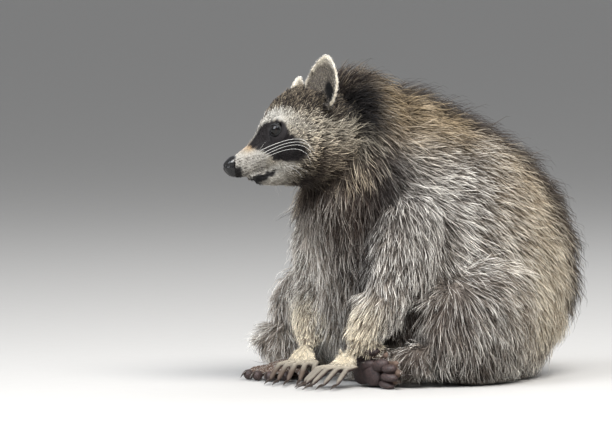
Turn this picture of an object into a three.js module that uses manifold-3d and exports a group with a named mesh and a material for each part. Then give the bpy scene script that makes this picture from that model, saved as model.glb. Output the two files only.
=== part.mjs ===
// A raccoon that sits on its rump with its hands on the ground between its hind feet, life size.
// Millimetres, +Z up. The animal's chest faces -Y and its left side is +X. The origin is on the
// flat that it sits on, straight below the place where the neck meets the back. The solids give
// the outline of the coat.
import * as THREE from "three";
import { mergeVertices } from "three/addons/utils/BufferGeometryUtils.js";
import Module from "manifold-3d";

const wasm = await Module();
wasm.setup();

// Driving sizes.
const CUT = 0.35; // clear gap between neighbouring pieces
const EYE_RADIUS = 6.6;
const EYE_AT = [25, -25, -5.5]; // middle of the left eye, in the head's own frame
const HEAD_AT = [-10, -113, 236]; // middle of the skull, between the cheeks
const HEAD_YAW = -23; // degrees: the face turns to the animal's right
const HEAD_ROLL = -14; // degrees: the left ear is the higher one
const EAR = { height: 62, width: 42, thick: 9, hollow: 9, at: [45, 12.6, 30], lean: [-4.5, 14, 38] };
const DIGITS = 5;
const CLAW_RADIUS = 1.7;

const UP = new THREE.Vector3(0, 0, 1);
const BACK = new THREE.Vector3(0, 1, 0);
const FRONT = new THREE.Vector3(0, -1, 0);
const degrees = THREE.MathUtils.degToRad;

// ---- Tools: a form along a curve, and solids ----

// A closed form along a smooth curve, rounded at both ends. A station is [x, y, z, side, up, down]:
// a point of the curve, then the half sizes of the section there, sideways, towards ref and away
// from it. A size left out repeats the one before it. Sections stand square to the curve, or all
// square to one direction, facing.
function form(stations, { around = 12, along = 8, ref = UP, facing, blunt = 6, place } = {}) {
  return (grow = 0) => {
    const path = new THREE.CatmullRomCurve3(stations.map((s) => new THREE.Vector3(...s.slice(0, 3))));
    const sizes = new THREE.CatmullRomCurve3(
      stations.map(([, , , side, up = side, down = up]) => new THREE.Vector3(side, up, down)),
    );
    const shape = new THREE.SphereGeometry(1, around, along);
    const points = shape.getAttribute("position");
    const p = new THREE.Vector3();
    for (let i = 0; i < points.count; i++) {
      p.fromBufferAttribute(points, i);
      const t = THREE.MathUtils.clamp((1 + p.y) / 2, 0, 1);
      const centre = path.getPoint(t);
      const tangent = facing ? facing.clone() : path.getTangent(t);
      const sideways = tangent.clone().cross(ref).normalize();
      const upwards = sideways.clone().cross(tangent);
      const size = sizes.getPoint(t);
      const ring = Math.hypot(p.x, p.z);
      const close = Math.sqrt(Math.max(0, 1 - Math.abs(p.y) ** blunt));
      const [across, rise] = ring > 1e-6 ? [p.x / ring, p.z / ring] : [0, 0];
      centre.addScaledVector(sideways, across * close * (size.x + grow));
      centre.addScaledVector(upwards, rise * close * ((rise > 0 ? size.y : size.z) + grow));
      centre.addScaledVector(tangent, p.y * grow);
      points.setXYZ(i, centre.x, centre.y, centre.z);
    }
    if (place) shape.applyMatrix4(place);
    return solid(shape);
  };
}

function solid(geometry) {
  geometry.deleteAttribute("normal");
  geometry.deleteAttribute("uv");
  const merged = mergeVertices(geometry, 1e-3);
  const vertProperties = new Float32Array(merged.getAttribute("position").array);
  const triVerts = new Uint32Array(merged.index.array);
  const make = () => new wasm.Manifold(new wasm.Mesh({ numProp: 3, vertProperties, triVerts }));
  if (make().volume() > 0) return make();
  triVerts.reverse(); // the sweep turned the faces inwards
  return make();
}

const join = (...solids) => solids.reduce((a, b) => a.add(b));
const largest = (body) => body.decompose().reduce((a, b) => (a.volume() > b.volume() ? a : b));

// The ground, which everything is cut flat against.
const ground = solid(new THREE.BoxGeometry(1000, 1000, 100).translate(0, 0, -50));

const model = new THREE.Group();
const taken = []; // solids already in the model, grown by the gap

// Adds a piece: its shape, less the ground and the pieces added before it.
function add(name, shape, material) {
  let body = shape(0).subtract(ground);
  for (const other of taken) body = body.subtract(other);
  taken.push(shape(CUT));
  addSolid(name, largest(body), material);
}

function addSolid(name, body, material) {
  const mesh = body.getMesh();
  const geometry = new THREE.BufferGeometry();
  geometry.setAttribute("position", new THREE.BufferAttribute(new Float32Array(mesh.vertProperties), 3));
  geometry.setIndex(new THREE.BufferAttribute(new Uint32Array(mesh.triVerts), 1));
  geometry.computeVertexNormals();
  const piece = new THREE.Mesh(geometry, material);
  piece.name = name;
  model.add(piece);
}

const finish = (color, roughness) => new THREE.MeshStandardMaterial({ color, roughness, metalness: 0 });
const coat = finish(0x8a8078, 0.9);
const paleCoat = finish(0xc8bca8, 0.9);
const darkCoat = finish(0x2c2624, 0.9);
const nakedSkin = finish(0x3a2e2c, 0.6);
const noseSkin = finish(0x1c1a1c, 0.35);
const eyeGloss = finish(0x0c0806, 0.05);
const horn = finish(0x5a5048, 0.4);

// ---- Head. Its own frame faces -Y, with +X to the left and the origin in the middle of the skull ----

const headPlace = new THREE.Matrix4()
  .makeRotationFromEuler(new THREE.Euler(0, degrees(HEAD_ROLL), degrees(HEAD_YAW), "ZYX"))
  .setPosition(...HEAD_AT);

const skull = form(
  [
    [0, 56, -2, 30, 24, 26],
    [0, 42, -2, 46, 36, 38],
    [0, 20, -8, 58, 49, 45],
    [0, 2, -13, 60, 54, 42],
    [0, -14, -18, 47, 52, 34],
    [0, -27, -21, 31, 45, 26],
    [0, -38, -23, 20, 36, 19],
  ],
  { around: 18, along: 12, facing: FRONT, blunt: 5, place: headPlace },
);
const snout = form(
  [
    [0, -16, -20, 31, 26, 17],
    [0, -29, -22, 25, 37, 18],
    [0, -40, -25, 20, 22, 16.5],
    [0, -49, -27.5, 16.5, 12.5, 17.5],
    [0, -58, -30.5, 13.5, 9, 16],
    [0, -66, -33.5, 11, 7, 12.5],
  ],
  { around: 14, along: 9, facing: FRONT, blunt: 9, place: headPlace },
);
const jaw = form(
  [
    [0, 4, -42, 25, 8, 12],
    [0, -16, -43, 20, 8, 10.5],
    [0, -34, -45, 15, 6, 8.5],
    [0, -51, -45, 10.5, 4, 4.5],
  ],
  { around: 10, along: 6, facing: FRONT, place: headPlace },
);
const nose = form(
  [
    [0, -58, -33.5, 6, 4.5, 6],
    [0, -64.5, -34, 8.4, 7, 9.2],
    [0, -70, -34.5, 6.4, 5, 7],
  ],
  { around: 10, along: 6, facing: FRONT, blunt: 3, place: headPlace },
);
const eye = (side) => (grow = 0) => {
  const ball = new THREE.SphereGeometry(EYE_RADIUS + grow, 12, 8);
  ball.translate(side * EYE_AT[0], EYE_AT[1], EYE_AT[2]);
  return solid(ball.applyMatrix4(headPlace));
};

// An ear: a ball flattened into an upright oval, narrower to its tip, and pushed in at the front.
const ear = (side) => (grow = 0) => {
  const shape = new THREE.SphereGeometry(1, 12, 10);
  const points = shape.getAttribute("position");
  for (let i = 0; i < points.count; i++) {
    const [across, depth, height] = [points.getX(i), points.getZ(i), points.getY(i)];
    const narrow = 1 - 0.2 * THREE.MathUtils.smoothstep(height, -0.2, 1);
    const dish = EAR.hollow * (1 - across * across - height * height);
    points.setXYZ(
      i,
      across * narrow * (EAR.width / 2 + grow),
      dish + depth * (EAR.thick / 2 + grow),
      height * (EAR.height / 2 + grow),
    );
  }
  const [tipBack, tipOut, faceOut] = EAR.lean.map(degrees);
  const turn = new THREE.Matrix4()
    .makeRotationFromEuler(new THREE.Euler(tipBack, side * tipOut, side * faceOut, "ZYX"))
    .setPosition(side * EAR.at[0], EAR.at[1], EAR.at[2]);
  return solid(shape.applyMatrix4(turn).applyMatrix4(headPlace));
};

// ---- Hands and feet, each in its own frame: flat on the ground, pointing to -Y ----

// One digit of a fan. Its angle is from -Y, towards +X. It arches from the knuckle to the tip,
// which knob makes thicker.
function digit(root, angle, reach, arch, thick, place, knob = 1) {
  const [dx, dy] = [Math.sin(degrees(angle)), -Math.cos(degrees(angle))];
  const at = (share, z, size) => [root[0] + dx * reach * share, root[1] + dy * reach * share, z, size];
  const flesh = form(
    [
      at(-0.25, arch, thick),
      at(0.2, arch + 1, thick),
      at(0.65, arch * 0.75, thick * 0.9),
      at(1, thick * 0.7 * knob, thick * 0.82 * knob),
    ],
    { around: 6, along: 4, blunt: 4, place },
  );
  const claw = form(
    [
      at(0.88, thick * 1.35, CLAW_RADIUS),
      at(1.12, thick * 1.2, CLAW_RADIUS * 0.8),
      at(1.27, thick * 0.45, CLAW_RADIUS * 0.3),
    ],
    { around: 4, along: 3, blunt: 4, place },
  );
  return { flesh, claw };
}

// A hand or a foot: a palm with its digits, as one piece, and a claw on each digit.
function paw(name, palm, digits, material) {
  digits.forEach(({ claw }, i) => add(`claw_${name}_${i + 1}`, claw, horn));
  add(name, (grow = 0) => join(palm(grow), ...digits.map((d) => d.flesh(grow))), material);
}

// Turned about the upright by a heading, positive towards the animal's left.
const turned = (at, heading) => new THREE.Matrix4().makeRotationZ(degrees(heading)).setPosition(...at);

const HAND = { fan: 5, step: 7.2, reach: 42, thumbReach: 34, thick: 3.1, arch: 19, knuckle: 5 };
function hand(name, side, at, heading) {
  const place = turned(at, heading);
  const palm = form(
    [
      [0, 10, 32, 11.5, 10],
      [0, 5, 27, 11.5, 8, 11],
      [0, -1, 22, 14.5, 6, 10],
      [0, -8, 17, 15, 4, 7],
    ],
    { around: 10, along: 5, ref: new THREE.Vector3(0, -0.7, 0.7), place },
  );
  const digits = Array.from({ length: DIGITS }, (_, i) => {
    const step = i - (DIGITS - 1) / 2; // digit 1 is the thumb, on the inner side
    const reach = i === 0 ? HAND.thumbReach : HAND.reach - 1.6 * (i - 2) ** 2;
    const root = [side * step * HAND.step, -HAND.knuckle + Math.abs(step) * 2, 0];
    return digit(root, side * step * HAND.fan, reach, HAND.arch, HAND.thick, place);
  });
  paw(name, palm, digits, paleCoat);
}

const FOOT = { fan: 13, step: 8, reach: 30, halluxReach: 22, thick: 5.6, knob: 1.25, arch: 9, heel: 46, width: 36 };
function foot(name, side, place, material, spread = 1) {
  const half = (FOOT.width / 2) * (0.5 + 0.5 * spread);
  const sole = form(
    [
      [0, FOOT.heel, 10, half * 0.62, 9, 12],
      [0, 26, 11, half * 0.74, 10, 13],
      [0, 2, 11, half, 9, 13],
      [0, -12, 9, half, 7, 11],
    ],
    { around: 10, along: 5, place },
  );
  const digits = Array.from({ length: DIGITS }, (_, i) => {
    const step = i - (DIGITS - 1) / 2; // digit 1 is the inner one, which sits further back
    const reach = i === 0 ? FOOT.halluxReach : FOOT.reach - 1.4 * (i - 2) ** 2;
    const root = [side * step * FOOT.step * spread, -10 + Math.abs(step) * 3.5 + (i === 0 ? 6 : 0), 0];
    return digit(root, side * step * FOOT.fan * spread, reach, FOOT.arch, FOOT.thick, place, FOOT.knob);
  });
  paw(name, sole, digits, material);
}

// ---- Trunk, neck, limbs and tail ----

// Level sections of the trunk: height, front, back, half width. Front and back are distances from
// the origin, the front one towards -Y.
const TRUNK = [
  [-30, 40, 104, 64],
  [2, 58, 154, 88],
  [34, 66, 174, 98],
  [70, 74, 188, 102],
  [108, 88, 194, 100],
  [148, 102, 186, 96],
  [186, 108, 160, 88],
  [218, 100, 121, 79],
  [246, 86, 60, 63],
  [266, 70, 22, 47],
  [282, 58, -16, 26],
];
const trunk = form(
  TRUNK.map(([z, front, back, half]) => [0, (back - front) / 2, z, half, (back + front) / 2]),
  { around: 22, along: 15, ref: BACK, facing: UP, blunt: 8 },
);
const neck = form(
  [
    [0, 8, 202, 50, 54, 50],
    [0, -34, 212, 65, 79, 56],
    [-4, -66, 220, 61, 72, 50],
    [-9, -96, 228, 48, 50, 40],
  ],
  { around: 16, along: 7, facing: FRONT },
);

// The hind legs. The left one is folded, sole to the front; the right foot is flat on the ground.
const thighLeft = form(
  [
    [50, 90, 56, 36, 56],
    [76, 50, 60, 47, 65],
    [92, 2, 54, 40, 58],
    [100, -44, 42, 26, 36],
  ],
  { around: 14, along: 8 },
);
const shankLeft = form(
  [
    [100, -42, 30, 18, 22],
    [66, -52, 22, 15, 17],
    [16, -58, 20, 12, 14],
  ],
  { around: 10, along: 5 },
);
const thighRight = form(
  [
    [-50, 90, 56, 36, 58],
    [-76, 44, 64, 46, 70],
    [-94, -14, 68, 38, 56],
    [-104, -74, 62, 29, 36],
  ],
  { around: 14, along: 8 },
);
const shankRight = form(
  [
    [-106, -76, 54, 29, 32],
    [-99, -54, 28, 21, 26],
    [-94, -36, 14, 15, 17],
  ],
  { around: 10, along: 5, ref: BACK },
);

// The left arm reaches forward more than the right one.
const SHOULDER = { left: [60, -30, 186], right: [-60, -30, 186] };
const ELBOW = { left: [66, -60, 92], right: [-60, -46, 92] };
const WRIST = { left: [40, -88, 29], right: [-32, -84, 29] };
const between = (a, b, share, push = [0, 0, 0]) => a.map((v, i) => v + (b[i] - v) * share + push[i]);
const upperArm = (label, side) =>
  form(
    [
      [...SHOULDER[label], 34, 40],
      [...between(SHOULDER[label], ELBOW[label], 0.4, [side * 4, 2, 0]), 33, 38],
      [...between(SHOULDER[label], ELBOW[label], 0.8, [side * 3, 1, 0]), 28, 32],
      [...ELBOW[label], 26, 30],
      [...between(ELBOW[label], WRIST[label], 0.3), 22, 23],
    ],
    { around: 12, along: 7, ref: BACK, blunt: 4 },
  );
const forearm = (label) =>
  form(
    [
      [...between(ELBOW[label], WRIST[label], -0.1), 17, 18],
      [...between(ELBOW[label], WRIST[label], 0.25), 24, 25],
      [...between(ELBOW[label], WRIST[label], 0.62), 21.5, 22.5],
      [...WRIST[label], 16, 17],
    ],
    { around: 10, along: 6, ref: BACK },
  );

const TAIL = [
  [-30, 128, 34, 26, 28],
  [-82, 168, 30, 29, 30],
  [-132, 132, 30, 31, 31],
  [-158, 72, 29, 31, 31],
  [-160, 14, 26, 28, 28],
  [-144, -34, 18, 19, 19],
];
const TAIL_CUTS = [0.27, 0.51, 0.75]; // shares of the tail's curve
const tail = form(TAIL, { around: 12, along: 14 });

// ---- The pieces, in the order in which each is fitted round those before it ----

for (const [label, side] of [["left", 1], ["right", -1]]) add(`eye_${label}`, eye(side), eyeGloss);
add("nose", nose, noseSkin);

// The folded foot stands on its outer edge: toes to the animal's left, sole to the front.
const FOLDED_FOOT = new THREE.Matrix4()
  .makeRotationFromEuler(new THREE.Euler(degrees(-4), degrees(3), degrees(-4), "ZYX"))
  .multiply(new THREE.Matrix4().makeBasis(new THREE.Vector3(0, 0, -1), new THREE.Vector3(-1, 0, 0), BACK))
  .setPosition(54, -75, 17);
hand("hand_left", 1, [38, -96, 0], 12);
hand("hand_right", -1, [-28, -92, 0], 34);
foot("foot_left", 1, FOLDED_FOOT, nakedSkin, 0.6);
foot("foot_right", -1, turned([-78, -77, 0], 31), darkCoat);

add("head", skull, coat);
add("muzzle", snout, paleCoat);
add("lower_jaw", jaw, paleCoat);
for (const [label, side] of [["left", 1], ["right", -1]]) {
  add(`ear_${label}`, ear(side), paleCoat);
  add(`upper_arm_${label}`, upperArm(label, side), coat);
  add(`forearm_${label}`, forearm(label), paleCoat);
}
add("shank_left", shankLeft, coat);
add("shank_right", shankRight, coat);
add("thigh_left", thighLeft, coat);
add("thigh_right", thighRight, coat);
add("neck", neck, coat);
add("trunk", trunk, coat);

// The tail is one form, parted by thin cuts across its curve.
const tailCurve = new THREE.CatmullRomCurve3(TAIL.map((s) => new THREE.Vector3(...s.slice(0, 3))));
let tailWhole = tail(0).subtract(ground);
for (const other of taken) tailWhole = tailWhole.subtract(other);
tailWhole = largest(tailWhole);
for (const share of TAIL_CUTS) {
  const blade = new THREE.BoxGeometry(90, 90, CUT);
  const turn = new THREE.Quaternion().setFromUnitVectors(UP, tailCurve.getTangent(share));
  blade.applyQuaternion(turn).translate(...tailCurve.getPoint(share).toArray());
  tailWhole = tailWhole.subtract(solid(blade));
}
const tailShare = (piece) => {
  const box = piece.boundingBox();
  const middle = new THREE.Vector3(...box.min).add(new THREE.Vector3(...box.max)).multiplyScalar(0.5);
  const shares = Array.from({ length: 101 }, (_, i) => i / 100);
  return shares.reduce((a, b) =>
    tailCurve.getPoint(a).distanceTo(middle) < tailCurve.getPoint(b).distanceTo(middle) ? a : b,
  );
};
const lengths = tailWhole.decompose().sort((a, b) => tailShare(a) - tailShare(b));
lengths.forEach((piece, i) => addSolid(`tail_${i + 1}`, piece, coat));

export default model;
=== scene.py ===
"""A raccoon that sits with its hands on the ground: skin, coat, eyes, nose, claws and whiskers."""

import math

import bmesh
import bpy
import numpy as np
from mathutils import Euler, Matrix, Vector


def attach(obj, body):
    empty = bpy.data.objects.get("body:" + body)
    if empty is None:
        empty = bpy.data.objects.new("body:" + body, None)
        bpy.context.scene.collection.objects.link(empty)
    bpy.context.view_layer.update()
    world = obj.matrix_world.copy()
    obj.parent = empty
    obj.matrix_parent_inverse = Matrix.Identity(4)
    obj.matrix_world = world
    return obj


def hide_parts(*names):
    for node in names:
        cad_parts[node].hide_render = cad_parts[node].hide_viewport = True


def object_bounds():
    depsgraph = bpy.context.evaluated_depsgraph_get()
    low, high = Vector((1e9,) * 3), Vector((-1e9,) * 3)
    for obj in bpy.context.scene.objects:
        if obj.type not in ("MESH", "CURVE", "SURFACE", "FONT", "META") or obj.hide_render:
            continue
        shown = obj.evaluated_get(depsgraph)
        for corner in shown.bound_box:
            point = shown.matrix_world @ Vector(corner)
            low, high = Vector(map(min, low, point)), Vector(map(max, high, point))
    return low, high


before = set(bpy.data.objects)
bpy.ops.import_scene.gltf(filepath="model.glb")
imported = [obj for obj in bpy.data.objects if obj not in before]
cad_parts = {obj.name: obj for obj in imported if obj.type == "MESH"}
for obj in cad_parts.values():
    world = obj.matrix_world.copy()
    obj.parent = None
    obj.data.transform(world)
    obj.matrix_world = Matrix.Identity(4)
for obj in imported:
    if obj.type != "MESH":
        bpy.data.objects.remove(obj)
CAD_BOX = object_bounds()

bl_info = {
    "name": "Raccoon in its coat",
    "version": (1, 0, 0),
    "blender": (4, 5, 0),
    "location": "3D View > Sidebar > Raccoon",
    "description": "Builds a seated raccoon's skin, coat, eyes, nose, claws and whiskers",
    "category": "Add Mesh",
}

MM = 0.001
BODY = "root"
SIDES = (("left", 1), ("right", -1))

# The head's own frame, in millimetres: it faces -Y, +X is its left, its origin is mid skull.
HEAD_AT = Vector((-10, -113, 236))
HEAD_TURN = Matrix.Rotation(math.radians(-23), 3, "Z") @ Matrix.Rotation(math.radians(-14), 3, "Y")
EYE_AT = (25, -25, -5.5)
EYE_RADIUS = 6.6
GAZE = (0.55, -0.78, -0.22)  # the way the left eye looks
NOSE_AT = (0, -65.6, -34.6)
NOSE_HALF = (8.6, 5.8, 9.6)
EAR_AT = (45, 12.6, 30)
EAR_LEAN = (-4.5, 14, 38)  # degrees back, out and turned
EAR_HALF = (21, 31)  # half width and half height

# The mouth's line, the mask's outline and the brow band, seen from the side: (y, z) in the head's
# frame; the brow has a half width at each point.
MOUTH_LINE = ((-68, -43), (-62, -47), (-55, -48.7), (-44, -48), (-35, -46), (-27, -42.5))
MASK = (
    (-50, -15), (-44, -7), (-38, -0.5), (-31, 3.5), (-25, 4), (-19.5, -1.5), (-17, -12), (-11, -20),
    (-5.5, -29), (-6.5, -36), (-16, -37.5), (-28, -33), (-37, -26), (-43, -23.5), (-48.5, -19.5),
)
BROW_LINE = ((-43, -6), (-37, 2), (-30, 8.5), (-23, 9), (-18, 5.5), (-11, -3), (-2, -12))
BROW_HALF = (3, 4.5, 5.5, 5.8, 5.5, 4.5, 3)

# The middle line of the tail and its rings, in millimetres in the row frame, and the headings of the paws and
# the place of the folded foot.
TAIL_LINE = ((-30, 128, 34), (-82, 168, 30), (-132, 132, 30), (-158, 72, 29), (-160, 14, 26), (-144, -34, 18))
TAIL_RINGS = 6
HAND_HEADING = {"left": 12, "right": 34}
FOOT_HEADING = 31
FOLDED_FOOT_AT = (54, -75, 17)
FAN_FROM = (112, -34, 104)  # where the coat of a thigh parts, on the left

# The opening of an ear, painted dark as its shade, across and up in the ear's frame, with a half width at
# each point.
EAR_HOLE = ((5, 2), (7.5, -6), (11, -14), (14, -21), (15.5, -28))
EAR_HOLE_HALF = (4, 7.5, 8.5, 7, 4.5)
# Half width of the dark back at heights above the ground.
BACK_HALF = ((60, 62), (110, 62), (150, 60), (190, 55), (220, 48), (250, 35), (280, 15))

# For each kind of flesh: the coat's depth, a hair's length and half thickness in millimetres,
# tufts in a square centimetre, and the width of a lock.
COAT = {
    "trunk": (12.5, 26, 0.38, 60, 4.4),
    "neck": (10.5, 19, 0.34, 74, 4),
    "thigh": (12.5, 26, 0.38, 60, 4.4),
    "shank": (8, 16, 0.34, 60, 4),
    "upper_arm": (9.5, 21, 0.36, 66, 4.2),
    "forearm": (8, 14, 0.3, 80, 3.4),
    "hand": (0.8, 2.6, 0.14, 300, 1.8),
    "foot": (0.8, 4.5, 0.16, 130, 2.5),
    "head": (5, 12, 0.25, 130, 3),
    "muzzle": (1.5, 2.4, 0.12, 320, 1.6),
    "lower_jaw": (2, 4.5, 0.15, 190, 2.2),
    "ear": (2.2, 3.4, 0.14, 210, 2.2),
    "tail": (14, 30, 0.42, 46, 6.5),
}
KINDS = list(COAT)
LONG_HAIR = 12  # millimetres: from here on a coat has guard hairs over an underfur
GUARD_SHARE = 0.55  # of the tufts of a long coat
FLOW_ROUNDS, FLOW_RELAX = 6, 7  # how often the lie of the coat is relaxed and laid in the skin
GRID_BEND_SEED, SWELL_SEED, HEIGHT_SEED = 40, 3, 4
BAKE_PATCH = 0.003  # size of a tuft's patch on the map OFBake
BOX_SHARE, BOX_MARGIN = 0.03, 0.008  # how far hair may pass the solids' box: of a side, and metres
GROUND = 0.0009  # metres: the lowest that a hair's middle line goes
ROOT_DEPTH = 0.0004  # metres that a hair's root is sunk in the skin
IRIS_RADIUS = 4.1
EYE_ROWS, EYE_COLUMNS = 40, 48
POLE = 0.02  # radians left open at a ball's poles
FLOOR_RADIUS, FLOOR_SIDES, FLOOR_DROP = 400, 96, 0.0002  # metres, count, metres

work = {}  # the skin's arrays, which the coat's operators read


# ---- Numbers and colours ----


def tone(hexadecimal):
    """The linear colour of an sRGB hexadecimal one."""
    raw = np.array([int(hexadecimal[i : i + 2], 16) for i in (0, 2, 4)]) / 255
    return np.where(raw < 0.04045, raw / 12.92, ((raw + 0.055) / 1.055) ** 2.4)


def step(values, low, high):
    """Smooth step: 0 below low, 1 above high, with level ends; it falls if high is below low."""
    t = np.clip((values - low) / (high - low), 0, 1)
    return t * t * (3 - 2 * t)


def mix(a, b, share):
    """a where share is 0, b where it is 1; share is one number for each row."""
    share = np.asarray(share)[..., None]
    return a * (1 - share) + b * share


def unit(vectors):
    """Vectors brought to length one."""
    return vectors / np.maximum(np.linalg.norm(vectors, axis=-1, keepdims=True), 1e-9)


def across(vectors, normals):
    """The part of each vector that lies in the surface with that normal."""
    return vectors - normals * np.sum(vectors * normals, axis=-1, keepdims=True)


def to_head(points):
    """Points of the row frame, in metres, as millimetres in the head's frame."""
    return (points / MM - np.array(HEAD_AT)) @ np.array(HEAD_TURN)


def from_head(points):
    """Points of the head's frame, in millimetres, as metres in the row frame."""
    return (np.asarray(points, float) @ np.array(HEAD_TURN).T + np.array(HEAD_AT)) * MM


def along_line(points, line):
    """For points and a bent line of two or three coordinates: each point's distance from the line,
    and its share of the way along, as the nearest of the feet dropped on each length."""
    line = np.array(line, float)
    best = np.full(len(points), 1e9)
    share = np.zeros(len(points))
    for i in range(len(line) - 1):
        run = line[i + 1] - line[i]
        t = np.clip((points - line[i]) @ run / (run @ run), 0, 1)
        gap = np.linalg.norm(points - line[i] - t[:, None] * run, axis=1)
        near = gap < best
        best = np.where(near, gap, best)
        share = np.where(near, (i + t) / (len(line) - 1), share)
    return best, share


def outline_gap(points, outline):
    """Distance of each point from a closed outline of two coordinates, negative inside. A point is
    inside if a ray from it crosses the outline an odd number of times."""
    line = np.array(outline + outline[:1], float)
    gap, _ = along_line(points, line)
    inside = np.zeros(len(points), bool)
    for (x0, y0), (x1, y1) in zip(line[:-1], line[1:]):
        crosses = (y0 > points[:, 1]) != (y1 > points[:, 1])
        at = x0 + (points[:, 1] - y0) * (x1 - x0) / (y1 - y0 + 1e-12)
        inside ^= crosses & (points[:, 0] < at)
    return np.where(inside, -gap, gap)


def ripple(points, scale, seed):
    """A slow random swell between about -1 and 1: the sum of six sine waves in random directions,
    with lengths near scale."""
    rng = np.random.default_rng(seed)
    total = np.zeros(len(points))
    for _ in range(6):
        wave = rng.normal(size=3)
        wave *= rng.uniform(0.7, 1.5) * 2 * math.pi / scale / np.linalg.norm(wave)
        total += np.sin(points @ wave + rng.uniform(0, 2 * math.pi))
    return total / 3


# ---- Meshes ----


def new_mesh(name, points, corners, sizes):
    """A mesh from its points, the point of each face corner, and the corner count of each face."""
    mesh = bpy.data.meshes.new(name)
    mesh.vertices.add(len(points))
    mesh.vertices.foreach_set("co", np.ascontiguousarray(points, np.float32).ravel())
    mesh.loops.add(len(corners))
    mesh.loops.foreach_set("vertex_index", np.ascontiguousarray(corners, np.int32))
    mesh.polygons.add(len(sizes))
    starts = np.concatenate([[0], np.cumsum(sizes)[:-1]])
    mesh.polygons.foreach_set("loop_start", starts.astype(np.int32))
    mesh.update(calc_edges=True)
    mesh.polygons.foreach_set("use_smooth", np.ones(len(sizes), bool))
    return mesh


def add_object(name, mesh, material=None):
    """A new object at the origin that shows the mesh."""
    made = bpy.data.objects.new(name, mesh)
    bpy.context.scene.collection.objects.link(made)
    if material:
        mesh.materials.append(material)
    return made


def add_piece(name, mesh, material, slot, *nodes):
    """A piece that rides with the body and stands for CAD nodes; its slot is not used."""
    made = add_object(name, mesh, material)
    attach(made, BODY)
    if nodes:
        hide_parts(*nodes)
    return made


def grid_faces(rows, columns):
    """Corners and sizes of the quads between rows of points, each row closed to a ring."""
    i, j = np.meshgrid(np.arange(rows - 1), np.arange(columns), indexing="ij")
    k = (j + 1) % columns
    quads = np.stack([i * columns + j, i * columns + k, (i + 1) * columns + k, (i + 1) * columns + j], -1)
    return quads.reshape(-1, 4)


def closed_rings(rings, loop=False):
    """Points and faces of a closed skin over rings of points: quads between the rings, and a face
    over each end, or quads from the last ring to the first if loop is set."""
    rows, columns = rings.shape[:2]
    points = rings.reshape(-1, 3)
    quads = grid_faces(rows, columns)
    if loop:
        j = np.arange(columns)
        k = (j + 1) % columns
        last = (rows - 1) * columns
        quads = np.concatenate([quads, np.stack([last + j, last + k, k, j], -1)])
        return points, quads.ravel(), np.full(len(quads), 4)
    ends = np.concatenate([np.arange(columns)[::-1], np.arange(columns) + (rows - 1) * columns])
    corners = np.concatenate([quads.ravel(), ends])
    return points, corners, np.concatenate([np.full(len(quads), 4), [columns, columns]])


def joined(parts):
    """Several (points, corners, sizes) as one."""
    starts = np.cumsum([0] + [len(p[0]) for p in parts])
    corners = [p[1] + start for p, start in zip(parts, starts)]
    points, sizes = (np.concatenate([p[i] for p in parts]) for i in (0, 2))
    return points, np.concatenate(corners), sizes


def outward(mesh):
    """Turns the faces of a closed mesh outwards."""
    shell = bmesh.new()
    shell.from_mesh(mesh)
    bmesh.ops.recalc_face_normals(shell, faces=shell.faces)
    shell.to_mesh(mesh)
    shell.free()
    return mesh


def tube(path, radii, sides, flat=1.0):
    """Rings of a tube: for each point of a path, a circle of its radius square to the path, as
    side x cos + up x sin of the angle; flat scales the up part."""
    path = np.asarray(path, float)
    run = unit(np.gradient(path, axis=0))
    side = unit(np.cross(run, np.array([0.013, 0.021, 1.0])))
    up = np.cross(side, run)
    angle = np.arange(sides) * 2 * math.pi / sides
    ring = np.cos(angle)[None, :, None] * side[:, None] + flat * np.sin(angle)[None, :, None] * up[:, None]
    return path[:, None] + ring * np.asarray(radii)[:, None, None]


# ---- Materials ----


def group_of(name, inputs, outputs):
    """A shader node group with named sockets, given as (name, type, default), with its input and output
    nodes.
    """
    group = bpy.data.node_groups.new(name, "ShaderNodeTree")
    for label, kind, default in inputs:
        socket = group.interface.new_socket(name=label, in_out="INPUT", socket_type=kind)
        socket.default_value = default
    for label, kind in outputs:
        group.interface.new_socket(name=label, in_out="OUTPUT", socket_type=kind)
    return group, group.nodes.new("NodeGroupInput"), group.nodes.new("NodeGroupOutput")


def link_all(tree, pairs):
    """Links (output socket, input socket) pairs."""
    for source, target in pairs:
        tree.links.new(source, target)


def math_node(tree, operation, *values):
    """A Math node whose inputs are sockets or numbers; gives its output."""
    made = tree.nodes.new("ShaderNodeMath")
    made.operation = operation
    for socket, value in zip(made.inputs, values):
        if isinstance(value, (int, float)):
            socket.default_value = value
        else:
            tree.links.new(value, socket)
    return made.outputs[0]


def mottle_group():
    """Brightens and darkens a colour by fine noise, and gives a height and a roughness from it."""
    group, given, out = group_of(
        "Mottle",
        [
            ("Color", "NodeSocketColor", (0.5, 0.5, 0.5, 1)),
            ("Coordinates", "NodeSocketVector", (0, 0, 0)),
            ("Scale", "NodeSocketFloat", 300.0),
            ("Strength", "NodeSocketFloat", 0.3),
            ("Roughness", "NodeSocketFloat", 0.6),
        ],
        [("Color", "NodeSocketColor"), ("Height", "NodeSocketFloat"), ("Roughness", "NodeSocketFloat")],
    )
    noise = group.nodes.new("ShaderNodeTexNoise")
    noise.inputs["Detail"].default_value = 3
    swing = math_node(group, "SUBTRACT", noise.outputs["Fac"], 0.5)
    gain = math_node(group, "MULTIPLY_ADD", swing, given.outputs["Strength"], 1.0)
    hue = group.nodes.new("ShaderNodeHueSaturation")
    rough = math_node(group, "MULTIPLY_ADD", swing, 0.35, given.outputs["Roughness"])
    link_all(
        group,
        [
            (given.outputs["Coordinates"], noise.inputs["Vector"]),
            (given.outputs["Scale"], noise.inputs["Scale"]),
            (given.outputs["Color"], hue.inputs["Color"]),
            (gain, hue.inputs["Value"]),
            (hue.outputs["Color"], out.inputs["Color"]),
            (noise.outputs["Fac"], out.inputs["Height"]),
            (rough, out.inputs["Roughness"]),
        ],
    )
    return group


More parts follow.
